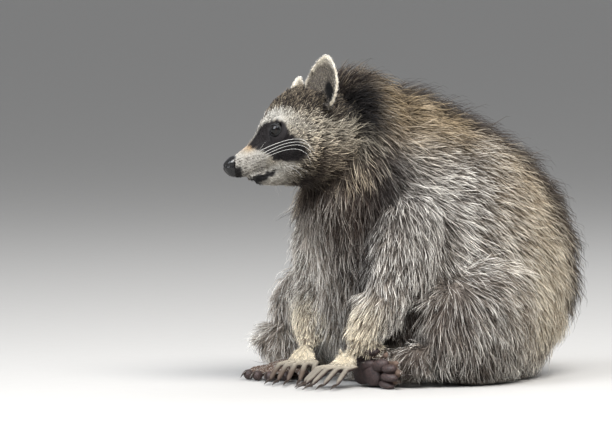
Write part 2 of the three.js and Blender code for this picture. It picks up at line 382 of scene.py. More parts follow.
def cobble_group():
    """Height and mask of small rounded grains with creases between them, as on a nose or a pad."""
    group, given, out = group_of(
        "Cobbles",
        [("Coordinates", "NodeSocketVector", (0, 0, 0)), ("Scale", "NodeSocketFloat", 900.0)],
        [("Height", "NodeSocketFloat"), ("Crease", "NodeSocketFloat")],
    )
    cells = group.nodes.new("ShaderNodeTexVoronoi")
    cells.feature = "DISTANCE_TO_EDGE"
    cells.inputs["Randomness"].default_value = 0.9
    height = math_node(group, "MINIMUM", cells.outputs["Distance"], 0.25)
    crease = math_node(group, "LESS_THAN", cells.outputs["Distance"], 0.06)
    link_all(
        group,
        [
            (given.outputs["Coordinates"], cells.inputs["Vector"]),
            (given.outputs["Scale"], cells.inputs["Scale"]),
            (height, out.inputs["Height"]),
            (crease, out.inputs["Crease"]),
        ],
    )
    return group


def shader(name, roughness=0.5, specular=0.5, **constants):
    """A material with a Principled BSDF; constants are sockets by name, with _ for a space."""
    material = bpy.data.materials.new(name)
    material.use_nodes = True
    principled = material.node_tree.nodes["Principled BSDF"]
    principled.inputs["Roughness"].default_value = roughness
    principled.inputs["Specular IOR Level"].default_value = specular
    for key, value in constants.items():
        principled.inputs[key.replace("_", " ")].default_value = value
    return material, material.node_tree, principled


def place_group(tree, group, **values):
    """A node of that group in the tree, with its own values."""
    made = tree.nodes.new("ShaderNodeGroup")
    made.node_tree = bpy.data.node_groups[group]
    for key, value in values.items():
        made.inputs[key].default_value = value
    return made


def mottled(name, colour, scale, strength, roughness, bump, attribute=None, **constants):
    """A material of one colour, or of a colour attribute, with the Mottle group over it."""
    material, tree, principled = shader(name, roughness, **constants)
    where = tree.nodes.new("ShaderNodeTexCoord")
    spots = place_group(tree, "Mottle", Scale=scale, Strength=strength, Roughness=roughness)
    relief = tree.nodes.new("ShaderNodeBump")
    relief.inputs["Strength"].default_value = 0.8
    relief.inputs["Distance"].default_value = bump * MM
    if attribute:
        source = tree.nodes.new("ShaderNodeAttribute")
        source.attribute_name = attribute
        tree.links.new(source.outputs["Color"], spots.inputs["Color"])
    else:
        spots.inputs["Color"].default_value = (*colour, 1)
    link_all(
        tree,
        [
            (where.outputs["Object"], spots.inputs["Coordinates"]),
            (spots.outputs["Color"], principled.inputs["Base Color"]),
            (spots.outputs["Roughness"], principled.inputs["Roughness"]),
            (spots.outputs["Height"], relief.inputs["Height"]),
            (relief.outputs["Normal"], principled.inputs["Normal"]),
        ],
    )
    return material


def leather(name, colour, scale, roughness, depth):
    """Dark bare skin: cobbles under a random mottle, with the creases between them painted darker as shade.
    """
    material, tree, principled = shader(name, roughness)
    where = tree.nodes.new("ShaderNodeTexCoord")
    spots = place_group(tree, "Mottle", Scale=scale * 0.35, Strength=0.9, Roughness=roughness)
    spots.inputs["Color"].default_value = (*colour, 1)
    grains = place_group(tree, "Cobbles", Scale=scale)
    # Painted shade: the creases between the cobbles are painted at three tenths of the colour.
    darker = tree.nodes.new("ShaderNodeMix")
    darker.data_type = "RGBA"
    darker.inputs["B"].default_value = (*(np.array(colour) * 0.3), 1)
    relief = tree.nodes.new("ShaderNodeBump")
    relief.inputs["Distance"].default_value = depth * MM
    link_all(
        tree,
        [
            (where.outputs["Object"], spots.inputs["Coordinates"]),
            (where.outputs["Object"], grains.inputs["Coordinates"]),
            (spots.outputs["Color"], darker.inputs["A"]),
            (grains.outputs["Crease"], darker.inputs["Factor"]),
            (darker.outputs["Result"], principled.inputs["Base Color"]),
            (spots.outputs["Roughness"], principled.inputs["Roughness"]),
            (grains.outputs["Height"], relief.inputs["Height"]),
            (relief.outputs["Normal"], principled.inputs["Normal"]),
        ],
    )
    return material


# ---- Sizes and colours that a user may change ----


def length(name, default, description):
    return bpy.props.FloatProperty(name=name, description=description, default=default, unit="LENGTH")


def colour(name, hexadecimal, description):
    return bpy.props.FloatVectorProperty(
        name=name,
        description=description,
        default=tuple(tone(hexadecimal)),
        size=3,
        min=0,
        max=1,
        subtype="COLOR",
    )


class CoatSettings(bpy.types.PropertyGroup):
    """Sizes of the skin and the coat."""

    voxel: length("Skin grain", 0.0013, "Edge of the cells that the skin is made from")
    tufts: bpy.props.IntProperty(name="Tufts", description="Tufts in the whole coat", default=120000)
    skin_faces: bpy.props.IntProperty(
        name="Skin faces", description="Triangles of the finished skin", default=180000
    )
    lock_pull: bpy.props.FloatProperty(
        name="Locks", description="How far hair tips gather into locks", default=0.18, subtype="FACTOR"
    )
    seed: bpy.props.IntProperty(name="Seed", description="Start of every random draw", default=7)


class CoatColours(bpy.types.PropertyGroup):
    """Colours of the coat and the bare parts."""

    black: colour("Black", "0d0a0a", "Mask and ear patch")
    dark: colour("Dark", "3a302b", "Roots of the hairs")
    brown: colour("Brown", "5c4b40", "Crown and throat")
    orange: colour("Orange", "a08a66", "Nape and upper back")
    tan: colour("Tan", "c9b79c", "Rump")
    grey: colour("Grey", "91887e", "Flank")
    silver: colour("Silver", "f1ede5", "Tips of the guard hairs")
    cream: colour("Cream", "e3d8c2", "Arms and cheeks")
    white: colour("White", "f3eee4", "Brow, muzzle and ear rims")
    sole: colour("Sole", "3d2e2c", "Bare skin of the paws")
    nose: colour("Nose", "0b0a0c", "Nose")
    claw: colour("Claw", "332a25", "Claws")


class FaceSettings(bpy.types.PropertyGroup):
    """Sizes of the face."""

    eye: length("Eye radius", EYE_RADIUS * MM, "Radius of the eyeball")
    iris: length("Iris radius", IRIS_RADIUS * MM, "Radius of the iris")
    whisker_half: length("Whisker half thickness", 0.00017, "Half thickness of a whisker at its root")


class StageSettings(bpy.types.PropertyGroup):
    """Camera and floor."""

    azimuth: bpy.props.FloatProperty(
        name="Azimuth", description="Way round from the front", default=math.radians(52), subtype="ANGLE"
    )
    elevation: bpy.props.FloatProperty(
        name="Elevation", description="Height above the level", default=math.radians(3), subtype="ANGLE"
    )
    distance: length("Distance", 6.31, "Camera to the point it looks at")
    focal: bpy.props.FloatProperty(name="Focal length", description="Of the lens", default=400, unit="CAMERA")
    floor: colour("Floor", "adaba8", "Floor")


def palette():
    """The coat's colours as arrays."""
    chosen = bpy.context.scene.raccoon_colours
    return {key: np.array(getattr(chosen, key)[:]) for key in CoatColours.__annotations__}


# ---- Skin ----


class Net:
    """Points, normals, edges, triangles and flesh kinds of a mesh, as arrays."""

    def __init__(self, mesh):
        count = len(mesh.vertices)
        self.points = np.empty(count * 3, np.float32)
        mesh.vertices.foreach_get("co", self.points)
        self.points = self.points.reshape(-1, 3).astype(float)
        self.normals = np.empty(count * 3, np.float32)
        mesh.vertex_normals.foreach_get("vector", self.normals)
        self.normals = self.normals.reshape(-1, 3).astype(float)
        self.edges = np.empty(len(mesh.edges) * 2, np.int32)
        mesh.edges.foreach_get("vertices", self.edges)
        self.edges = self.edges.reshape(-1, 2)
        mesh.calc_loop_triangles()
        self.triangles = np.empty(len(mesh.loop_triangles) * 3, np.int32)
        mesh.loop_triangles.foreach_get("vertices", self.triangles)
        self.triangles = self.triangles.reshape(-1, 3)
        self.node = np.empty(count, np.int32)
        mesh.attributes["node"].data.foreach_get("value", self.node)
        self.degree = np.maximum(np.bincount(self.edges.ravel(), minlength=count), 1)

    def spread(self, field):
        """For each point, the mean of the field over its neighbours."""
        a, b = self.edges.T
        flat = field.reshape(len(field), -1)
        count = len(field)
        total = [
            np.bincount(a, flat[b, k], minlength=count) + np.bincount(b, flat[a, k], minlength=count)
            for k in range(flat.shape[1])
        ]
        return (np.stack(total, -1) / self.degree[:, None]).reshape(field.shape)

    def relax(self, field, rounds):
        """The field after that many rounds of going halfway to its neighbours' mean."""
        for _ in range(rounds):
            field = (field + self.spread(field)) / 2
        return field


def flesh_nodes():
    """Names of the CAD nodes that the skin stands for."""
    return [n for n in sorted(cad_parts) if not n.startswith(("claw_", "eye_", "nose"))]


def kind_of(node):
    """The kind of flesh of a node, such as hand for hand_left."""
    return next(k for k in KINDS if node.startswith(k))


def flesh_mesh(grow):
    """The flesh nodes as one mesh: copies with their loose triangles merged, pushed out along
    their normals so that neighbours overlap. Attribute node says where each point is from."""
    points, faces, origin = [], [], []
    for number, name in enumerate(flesh_nodes()):
        shell = bmesh.new()
        shell.from_mesh(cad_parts[name].data)
        bmesh.ops.remove_doubles(shell, verts=shell.verts, dist=1e-5)
        shell.normal_update()
        copy = bpy.data.meshes.new("copy")
        shell.to_mesh(copy)
        shell.free()
        count = len(copy.vertices)
        co = np.empty(count * 3, np.float32)
        copy.vertices.foreach_get("co", co)
        out = np.empty(count * 3, np.float32)
        copy.vertex_normals.foreach_get("vector", out)
        corners = np.empty(len(copy.loops), np.int32)
        copy.loops.foreach_get("vertex_index", corners)
        faces.append(corners + sum(len(p) for p in points))
        points.append((co + grow * out).reshape(-1, 3))
        origin.append(np.full(count, number, np.int32))
        bpy.data.meshes.remove(copy)
    corners = np.concatenate(faces)
    mesh = new_mesh("skin", np.concatenate(points), corners, np.full(len(corners) // 3, 3))
    mesh.attributes.new("node", "INT", "POINT").data.foreach_set("value", np.concatenate(origin))
    return mesh


def remesh(body, voxel):
    """Gives the object one even closed surface, with its attributes carried over."""
    bpy.context.view_layer.objects.active = body
    body.data.remesh_voxel_size = voxel
    body.data.use_remesh_preserve_attributes = True
    if bpy.ops.object.voxel_remesh() != {"FINISHED"}:
        raise RuntimeError("the skin couldn't be remeshed")
    return Net(body.data)


def node_mask(net, *starts):
    """True where a point comes from a node whose name begins so."""
    names = flesh_nodes()
    return np.isin(net.node, [i for i, n in enumerate(names) if n.startswith(starts)])


def by_kind(net, column):
    """That column of COAT for each point, by its kind of flesh."""
    values = np.array([COAT[kind_of(n)][column] for n in flesh_nodes()], float)
    return values[net.node]


def eye_gap(points):
    """Millimetres from each point, in the head's frame, to the nearer eyeball's middle."""
    folded = points.copy()
    folded[:, 0] = np.abs(folded[:, 0])
    return np.linalg.norm(folded - np.array(EYE_AT), axis=1)


def coat_depth(net):
    """How far the skin lies under the coat's tips, in millimetres: by kind, thinner on the face and
    round the eyes, thicker on the cheeks, thin where the body rests on the ground, then relaxed. On
    bare fingers it is a little below 0, so that smoothing leaves them as thick as they should be."""
    depth = by_kind(net, 0)
    head = to_head(net.points)
    on_head = node_mask(net, "head")
    cheek = 2.4 + 6.5 * step(head[:, 1], -18, 26) * step(head[:, 2], 22, -12)
    cheek += 2.2 * step(head[:, 1], -10, 30) * step(head[:, 2], -12, 22)
    depth = np.where(on_head, cheek, depth)
    paw = node_mask(net, "hand", "foot")
    hand = node_mask(net, "hand")
    depth = np.where(paw, 0.7 - 0.9 * hand + 3.4 * step(net.points[:, 2] / MM, 16, 30) * hand, depth)
    underneath = step(net.points[:, 2] / MM, 6, 1) * step(-net.normals[:, 2], 0.2, 0.9)
    depth = mix(depth[:, None], np.minimum(depth, 2.5)[:, None], underneath)[:, 0]
    depth = net.relax(depth, 40)
    near_eye = step(eye_gap(head), EYE_RADIUS + 9, EYE_RADIUS + 3) * (node_mask(net, "head", "muzzle"))
    return depth * (1 - near_eye) + 0.4 * near_eye


def sculpt_face(net):
    """Moves of the skin's points, in millimetres along the normal: a groove along the mouth, a
    hollow in front of each eye and a ridge over it."""
    head = to_head(net.points)
    side_view = head[:, 1:]
    face = node_mask(net, "head", "muzzle", "lower_jaw")
    gap, _ = along_line(side_view, MOUTH_LINE)
    groove = -1.6 * np.exp(-((gap / 1.5) ** 2))
    folded = np.abs(head[:, 0])
    brow = np.linalg.norm(np.stack([folded - 22, head[:, 1] + 22, head[:, 2] - 8], -1), axis=1)
    ridge = 1.2 * np.exp(-((brow / 6) ** 2))
    tear = np.linalg.norm(np.stack([folded - 17, head[:, 1] + 33, head[:, 2] + 8], -1), axis=1)
    hollow = -1.5 * np.exp(-((tear / 6) ** 2))
    return np.where(face, groove + ridge + hollow - 6 * ear_hole(head), 0)


def thin_out(body, target):
    """Brings the skin to about that many triangles, taking them from the body before the face and the
    paws: a point with weight 0 is spared."""
    net = Net(body.data)
    fine = node_mask(net, "head", "muzzle", "lower_jaw", "ear", "hand", "foot").astype(float)
    group = body.vertex_groups.new(name="fine")
    for weight, chosen in ((0.0, fine > 0.5), (1.0, fine <= 0.5)):
        group.add(np.flatnonzero(chosen).tolist(), weight, "REPLACE")
    modifier = body.modifiers.new("thin", "DECIMATE")
    modifier.ratio = min(1, target / len(net.triangles))
    modifier.vertex_group = "fine"
    modifier.vertex_group_factor = 1.0
    modifier.use_collapse_triangulate = True
    bpy.ops.object.modifier_apply(modifier="thin")
    body.vertex_groups.clear()


def set_points(mesh, points):
    mesh.vertices.foreach_set("co", points.astype(np.float32).ravel())
    mesh.update()


class RACCOON_OT_skin(bpy.types.Operator):
    """Make one skin that lies under the coat, in place of the flesh nodes"""

    bl_idname = "raccoon.skin"
    bl_label = "Skin"

    def execute(self, context):
        settings = context.scene.raccoon_coat
        voxel = settings.voxel * 1
        body = add_object("skin", flesh_mesh(0.6 * MM))
        net = remesh(body, voxel)
        depth = coat_depth(net) + 0.6
        inward = unit(net.relax(net.normals, 12))
        inward = np.where(depth[:, None] > 4, inward, net.normals)
        set_points(body.data, net.points - inward * depth[:, None] * MM)
        net = remesh(body, voxel)
        smooth = net.relax(net.points, 4)
        arms = net.relax(node_mask(net, "upper_arm", "forearm").astype(float), 30)
        smooth = mix(smooth, net.relax(smooth, 50), np.clip(2 * arms, 0, 1))
        fine = node_mask(net, "head", "muzzle", "lower_jaw", "ear", "hand", "foot")
        gentle = net.relax(net.points, 1)
        points = np.where(fine[:, None], gentle, smooth) + net.normals * sculpt_face(net)[:, None] * MM
        points[:, 2] = np.maximum(points[:, 2], 0.0003)
        set_points(body.data, points)
        thin_out(body, settings.skin_faces * (1))
        net = Net(body.data)
        work["net"] = net
        work.update(skin_fields(net))
        paint(body.data, "Markings", work["skin_colour"])
        body.data.polygons.foreach_set("use_smooth", np.ones(len(body.data.polygons), bool))
        body.data.attributes.remove(body.data.attributes["node"])
        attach(body, BODY)
        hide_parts(*flesh_nodes())
        body.data.materials.append(bpy.data.materials["Skin"])
        return {"FINISHED"}


def paint(mesh, name, colours):
    """A colour for each point, as a colour attribute."""
    layer = mesh.color_attributes.new(name, "FLOAT_COLOR", "POINT")
    rgba = np.ones((len(colours), 4), np.float32)
    rgba[:, :3] = colours
    layer.data.foreach_set("color", rgba.ravel())


# ---- Markings and lie of the coat, at each point of the skin ----


def ear_frame(points, side):
    """Points of the head's frame in an ear's frame: across, depth (front is minus) and height."""
    back, out, turn = (math.radians(a) for a in EAR_LEAN)
    turned = Matrix.Rotation(side * turn, 3, "Z") @ Matrix.Rotation(side * out, 3, "Y")
    turned = turned @ Matrix.Rotation(back, 3, "X")
    middle = np.array([side * EAR_AT[0], EAR_AT[1], EAR_AT[2]])
    return (points - middle) @ np.array(turned)


def ear_hole(head):
    """1 in the opening of an ear, which the markings paint dark as its shade, and 0 outside it, for the flesh
    near the ear's plane.
    """
    side = np.where(head[:, 0] > 0, 1, -1)
    local = np.where((side > 0)[:, None], ear_frame(head, 1), ear_frame(head, -1))
    gap, share = along_line(np.stack([side * local[:, 0], local[:, 2]], -1), EAR_HOLE)
    half = np.interp(share, np.linspace(0, 1, len(EAR_HOLE_HALF)), EAR_HOLE_HALF)
    return step(gap - half, 1.5, -1.5) * step(local[:, 1], -16, -9) * step(local[:, 1], 10, 6)


def ear_rim(local):
    """0 at the middle of an ear and 1 at its rim: the distance in half widths and half heights, where
    the width narrows towards the tip."""
    narrow = 1 - 0.2 * step(local[:, 2] / EAR_HALF[1], -0.2, 1)
    return np.hypot(local[:, 0] / (EAR_HALF[0] * narrow), local[:, 2] / EAR_HALF[1])


def crest(points):
    """1 on the dark back and 0 off it: nearer the middle plane than BACK_HALF, behind the shoulders."""
    x, y, z = (points / MM).T
    edge = np.interp(z, *np.transpose(BACK_HALF)) + 3 * ripple(points / MM, 45, SWELL_SEED)
    return step(np.abs(x) - edge, 9, -8) * step(z, 55, 85) * step(y, -85, -55)


def body_markings(points, shades):
    """Root, middle and tip colours and the share of black hairs on trunk, neck and legs: grizzled
    flanks that pale to a tan rump, a sandy nape, a dark stripe down the spine, painted shade on the
    chest, shoulders, low front and between elbows and thighs, and painted light on the far side and belly."""
    x, y, z = (points / MM).T
    rows = (len(x), 1)
    wave = ripple(points / MM, 45, SWELL_SEED)
    stripe = crest(points)
    height = z + 12 * ripple(points / MM, 60, HEIGHT_SEED)
    warm = step(height, 185, 245) * step(y, -85, -45)
    warm = np.maximum(warm, 0.5 * step(height, 120, 215) * step(y, 0, 90))
    rump = step(y + 8 * wave, 5, 100) * step(z, 20, 60)
    chest = step(y + 4 * wave, -60, -85) * step(np.abs(x), 62, 40) * step(z, 85, 120)
    shoulder = np.exp(-(((y + 80) / 24) ** 2) - ((z - 185) / 32) ** 2) * step(np.abs(x), 20, 40)
    low = step(z, 55, 15) * step(y, 60, -10)
    low = np.maximum(low, np.exp(-(((y + 32) / 22) ** 2) - ((z - 68) / 28) ** 2))
    middle = np.tile(shades["grey"], rows)
    middle = mix(middle, shades["tan"] * 0.84, rump * 0.85)
    middle = mix(middle, shades["orange"] * 0.8, warm * 0.9)
    tip = np.tile(shades["silver"], rows)
    pale = np.exp(-(((y + 40) / 45) ** 2) - ((z - 175) / 45) ** 2) * step(x, 20, 50)
    middle = mix(middle, shades["silver"] * 0.6, pale * 0.5)
    tip = mix(tip, shades["cream"], rump * 0.8)
    tip = mix(tip, shades["orange"] * 1.1, warm * 0.85)
    # Painted shade: the chest, the shoulders, the low front near the ground and a patch between the elbows
    # and the thighs are painted darker, with more black hairs.
    painted_shade = np.clip(0.75 * chest + 1.1 * shoulder + 0.6 * low, 0, 1)
    middle = mix(middle, shades["brown"] * 0.75, painted_shade)
    tip = mix(tip, shades["grey"] * 0.95, painted_shade)
    middle = mix(middle, shades["black"] * [1.8, 2.0, 2.6], stripe * 0.9)
    tip = mix(tip, shades["black"] * [2.2, 2.6, 3.6], stripe * 0.95)
    # Painted light: the far side and the belly, which lie in shade, are painted paler, with greyer roots and
    # fewer black hairs.
    shade = step(x, 5, -25) * step(y, 10, -30) * step(z, 175, 140)
    shade = np.maximum(shade, step(y, -55, -75) * step(z, 110, 85))
    middle = mix(middle, shades["grey"] * 2.0, shade)
    tip = mix(tip, shades["silver"] * 1.1, shade)
    root = mix(np.tile(shades["dark"], rows), shades["brown"], rump * 0.7)
    root = mix(root, shades["grey"] * 0.8, shade * 0.7)
    black = 0.24 + 0.4 * stripe - 0.16 * rump + 0.1 * painted_shade - 0.08 * warm - 0.16 * shade
    return root, middle, tip, black


def head_markings(head, shades):
    """The same for the head: white brow and muzzle, black mask whose raised, bluish tips are partly a
    painted sheen, dark crown, cream cheeks that darken downwards and backwards, a rust spot, dark lips,
    a chin painted dark tan as the shade under the jaw, and ear openings painted black as shade."""
    side_view = head[:, 1:]
    wide = np.abs(head[:, 0])
    y, z = side_view.T
    count = len(head)
    middle = np.tile(shades["cream"] * 0.42, (count, 1))
    tip = np.tile(shades["cream"] * 0.84, (count, 1))
    root = np.tile(shades["dark"], (count, 1))
    black = np.full(count, 0.26)

    def lay(mask, mid, end, low, share):
        nonlocal middle, tip, root, black
        middle, tip, root = mix(middle, mid, mask), mix(tip, end, mask), mix(root, low, mask)
        black = black * (1 - mask) + share * mask

    dirt = ripple(head, 7, 11)
    jowl = step(z, -14, -36) * step(y, -12, 2)
    lay(jowl * 0.8, shades["brown"] * 0.8, shades["tan"] * 0.9, shades["dark"] * 0.6, 0.3)
    crown = step(z + 0.45 * (y + 14) + 3 * dirt, 6, 16) * step(y, -50, -32) * step(y, 45, 20)
    crown = np.clip(crown + step(y, 22, 34) * step(z, -6, 10), 0, 1)
    lay(crown, shades["brown"] * 0.3, shades["tan"] * 0.3, shades["dark"] * 0.4, 0.5)
    gap, share = along_line(side_view, BROW_LINE)
    half = np.interp(share, np.linspace(0, 1, len(BROW_HALF)), BROW_HALF)
    band = shades["white"] * (1 - 0.25 * share[:, None])
    fade = step(gap - half + 1.5 * dirt, 1.5, -1.5) * (1 - 0.55 * step(share, 0.45, 0.9))
    lay(fade, band * 0.42, band * 0.74, shades["cream"] * 0.25, 0.1)
    stripe = step(wide, 5, 2) * step(y, -62, -48) * step(y, 10, -20)
    lay(stripe * 0.85, shades["brown"] * 0.6, shades["brown"] * 0.8, shades["dark"] * 0.6, 0.5)
    muzzle = step(y, -28, -40) * step(z - 0.6 * (y + 50), 2, -8)
    muzzle = np.maximum(muzzle, 0.85 * step(z, -33, -38) * step(y, -8, -20))
    lay(muzzle, shades["white"] * 0.38, shades["white"] * 0.62, shades["cream"] * 0.35, 0.08)
    rows = np.cos((z + 0.42 * (y + 50)) * 2 * math.pi / 3.1) * np.cos((y - 0.2 * z) * 2 * math.pi / 3.6)
    dots = step(rows + 0.25 * dirt, 0.1, 0.5) * step(y, -66, -62) * step(y, -32, -38) * step(z, -26, -30)
    lay(dots * muzzle, shades["brown"] * 0.3, shades["brown"] * 0.4, shades["dark"] * 0.4, 0.3)
    rust = np.exp(-(((y + 48) / 6.5) ** 2) - ((z + 19.5 - 0.4 * (y + 48)) / 4.5) ** 2)
    lay(rust * 0.85, shades["orange"] * 0.8, shades["orange"] * [1.35, 1.15, 1.0], shades["brown"], 0.05)
    # Partly painted sheen: the mask is black fur, and its colours are raised above plain black, with bluish
    # tips, as a sheen.
    mask = step(outline_gap(side_view, MASK) + dirt * 0.7, 1.0, -1.0) * (1 - 0.5 * step(wide, 7, 3))
    lay(mask, shades["black"] * 2.4, shades["black"] * [3.6, 3.5, 3.9], shades["black"] * 1.8, 0.4)
    # Painted shade: the chin under the jaw is painted a dark tan.
    chin = step(z, -50, -53) * step(y, 4, -10)
    lay(chin * 0.9, shades["tan"] * 0.22, shades["tan"] * 0.36, shades["brown"] * 0.6, 0.1)
    gap, _ = along_line(side_view, MOUTH_LINE)
    reach = 1.3 + 1.5 * step(y, -54, -42) * step(y, -24, -34)
    lip = step(gap - reach + 1.1 * dirt, 1.6, -0.8) * step(y, -22, -28)
    front = step(y + 0.35 * (z + 40), -55, -58) * step(z, -35, -38)
    lay(np.maximum(lip, front), shades["black"], shades["black"] * 1.8, shades["black"], 0.2)
    # Painted shade: the ear's opening is painted black, as the shade inside it.
    lay(0.95 * ear_hole(head), shades["black"] * 0.1, shades["black"] * 0.2, shades["black"] * 0.1, 0.3)
    return root, middle, tip, black


def dark_places(head, shades):
    """How far each point lies in the black patch behind an ear, and in the throat under the jaw, which is
    painted dark brown as shade.
    """
    wide, y, z = np.abs(head[:, 0]), head[:, 1], head[:, 2]
    rough = ripple(head, 12, 21) * 0.12
    patch = 0.8 * np.exp(-(((y - 49) / 20) ** 4) - ((z - 13 + 0.2 * (y - 49)) / 25) ** 4) * step(wide, 6, 20)
    # Painted shade: a dark brown patch on the throat, under the jaw.
    throat = np.exp(-(((y - 1) / 15) ** 2) - ((z + 54) / 14) ** 2)
    return np.clip(1.3 * patch * (1 + rough), 0, 1), np.clip(1.2 * throat, 0, 1)


def ear_markings(head, shades):
    """The same for the ears: white rim, grey inside with a dark foot painted black as the shade of the
    opening, grizzled back.
    """
    side = np.where(head[:, 0] > 0, 1, -1)
    local = np.where((side > 0)[:, None], ear_frame(head, 1), ear_frame(head, -1))
    edge = ear_rim(local) + 0.05 * ripple(head, 5, 31)
    rim = step(edge, 0.76 - 0.2 * step(local[:, 2], 8, 28), 0.96) * step(local[:, 2], -28, -14)
    front = step(local[:, 1] - 9 * (1 - ear_rim(local) ** 2), 1, -1)
    foot = ear_hole(head)
    inside = front * (1 - rim)
    middle = np.tile(shades["grey"] * 0.26, (len(head), 1))
    tip = np.tile(shades["cream"] * 0.36, (len(head), 1))
    root = np.tile(shades["dark"], (len(head), 1))
    behind = (1 - front) * step(local[:, 2], 12, -8)
    middle, tip = mix(middle, shades["black"] * 1.4, behind), mix(tip, shades["brown"] * 0.7, behind)
    # Painted shade: the opening at the ear's foot is painted black.
    middle = mix(middle, shades["black"] * 0.2, inside * foot)
    tip = mix(tip, shades["black"] * 0.4, inside * foot)
    root = mix(root, shades["black"] * 0.2, inside * foot)
    middle, tip = mix(middle, shades["cream"] * 0.95, rim), mix(tip, shades["white"], rim)
    root = mix(root, shades["cream"] * 0.5, rim)
    return root, middle, tip, 0.12 * (1 - rim)


def limb_markings(net, shades):
    """The same for forearms, hands and feet: grey above and behind, cream below and in front on the
    arms, pale hands with dark finger ends, dark feet."""
    y, z = (net.points[:, 1:] / MM).T
    rows = (len(y), 1)
    facing = net.relax(net.normals, 6)
    front = step(facing @ unit(np.array([-0.35, -1.0, -0.1])), -0.45, 0.4)
    pale = np.clip(step(z, 60, 38) + front * step(z, 98, 66), 0, 1)
    root = mix(np.tile(shades["dark"], rows), shades["brown"] * 1.3, pale)
    middle = mix(np.tile(shades["grey"], rows), shades["cream"] * 1.0, pale)
    tip = mix(np.tile(shades["silver"], rows), shades["cream"] * 1.18, pale)
    hand = node_mask(net, "hand").astype(float)
    wrist = step(z, 17, 27)
    ends = np.clip(step(z, 8, 4) + step(net.normals[:, 2], -0.05, -0.35) * step(z, 22, 16), 0, 1) * hand
    skin = shades["cream"] * 0.13 + shades["grey"] * 0.26
    skin = mix(np.tile(shades["sole"], rows), skin, step(net.normals[:, 2], -0.1, 0.5))
    skin = mix(skin, shades["sole"] * 0.8, ends)
    far = node_mask(net, "hand_right") * step(z, 19, 12)
    skin = mix(skin, shades["brown"] * 0.6, 0.85 * far)
    skin = mix(skin, shades["cream"] * 0.92, wrist)
    middle, tip, root = mix(middle, skin, hand), mix(tip, skin * 1.35, hand), mix(root, skin * 0.6, hand)
    foot = node_mask(net, "foot").astype(float)
    middle, tip = mix(middle, shades["brown"], foot), mix(tip, shades["silver"] * 0.8, foot)
    root = mix(root, shades["sole"] * 0.8, foot)
    return root, middle, tip, np.where(foot + hand > 0, 0.1, 0.24 * (1 - pale))


def tail_markings(points, shades):
    """The same for the tail: dark rings by the share of its length, and a dark tip."""
    _, share = along_line(points / MM, TAIL_LINE)
    wave = np.cos((share * TAIL_RINGS + 0.35) * 2 * math.pi)
    ring = np.clip(step(wave + 0.25 * ripple(points / MM, 14, 5), -0.1, 0.25) + step(share, 0.9, 0.95), 0, 1)
    pale = np.tile(shades["tan"], (len(points), 1))
    middle = mix(pale * 0.9, shades["black"] * 1.5, ring)
    tip = mix(pale * 1.1, shades["black"] * 2.5, ring)
    root = mix(np.tile(shades["dark"], (len(points), 1)), shades["black"], ring)
    return root, middle, tip, 0.15 + 0.3 * ring


def markings(net):
    """Root, middle and tip colours and the share of black hairs at each point of the skin."""
    shades = palette()
    head = to_head(net.points)
    layers = [np.array(v) for v in body_markings(net.points, shades)]

    def lay(weight, other):
        for i, (mine, theirs) in enumerate(zip(layers, other)):
            w = weight if mine.ndim == 1 else weight[:, None]
            layers[i] = mine * (1 - w) + theirs * w

    soft = {k: net.relax(node_mask(net, *v).astype(float), 3) for k, v in {
        "head": ("head", "muzzle", "lower_jaw"), "ear": ("ear",), "tail": ("tail",),
        "limb": ("forearm", "hand", "foot"),
    }.items()}
    near = step(head[:, 1], 74, 50) * node_mask(net, "neck", "trunk") * step(head[:, 2], -50, -34)
    lay(net.relax(soft["limb"], 10), limb_markings(net, shades))
    lay(soft["tail"], tail_markings(net.points, shades))
    lay(np.clip(soft["head"] + near, 0, 1), head_markings(head, shades))
    patch, throat = dark_places(head, shades)
    whole = np.ones((len(head), 1))
    # The black patch behind each ear is its own colour; the throat's dark brown is painted shade under the
    # jaw.
    for weight, shade in ((patch, shades["black"] * 1.6), (throat, shades["dark"] * 0.55)):
        lay(weight, (whole * shade * 0.6, whole * shade, whole * shade * 1.3, np.full(len(head), 0.3)))
    lay(soft["ear"], ear_markings(head, shades))
    return layers


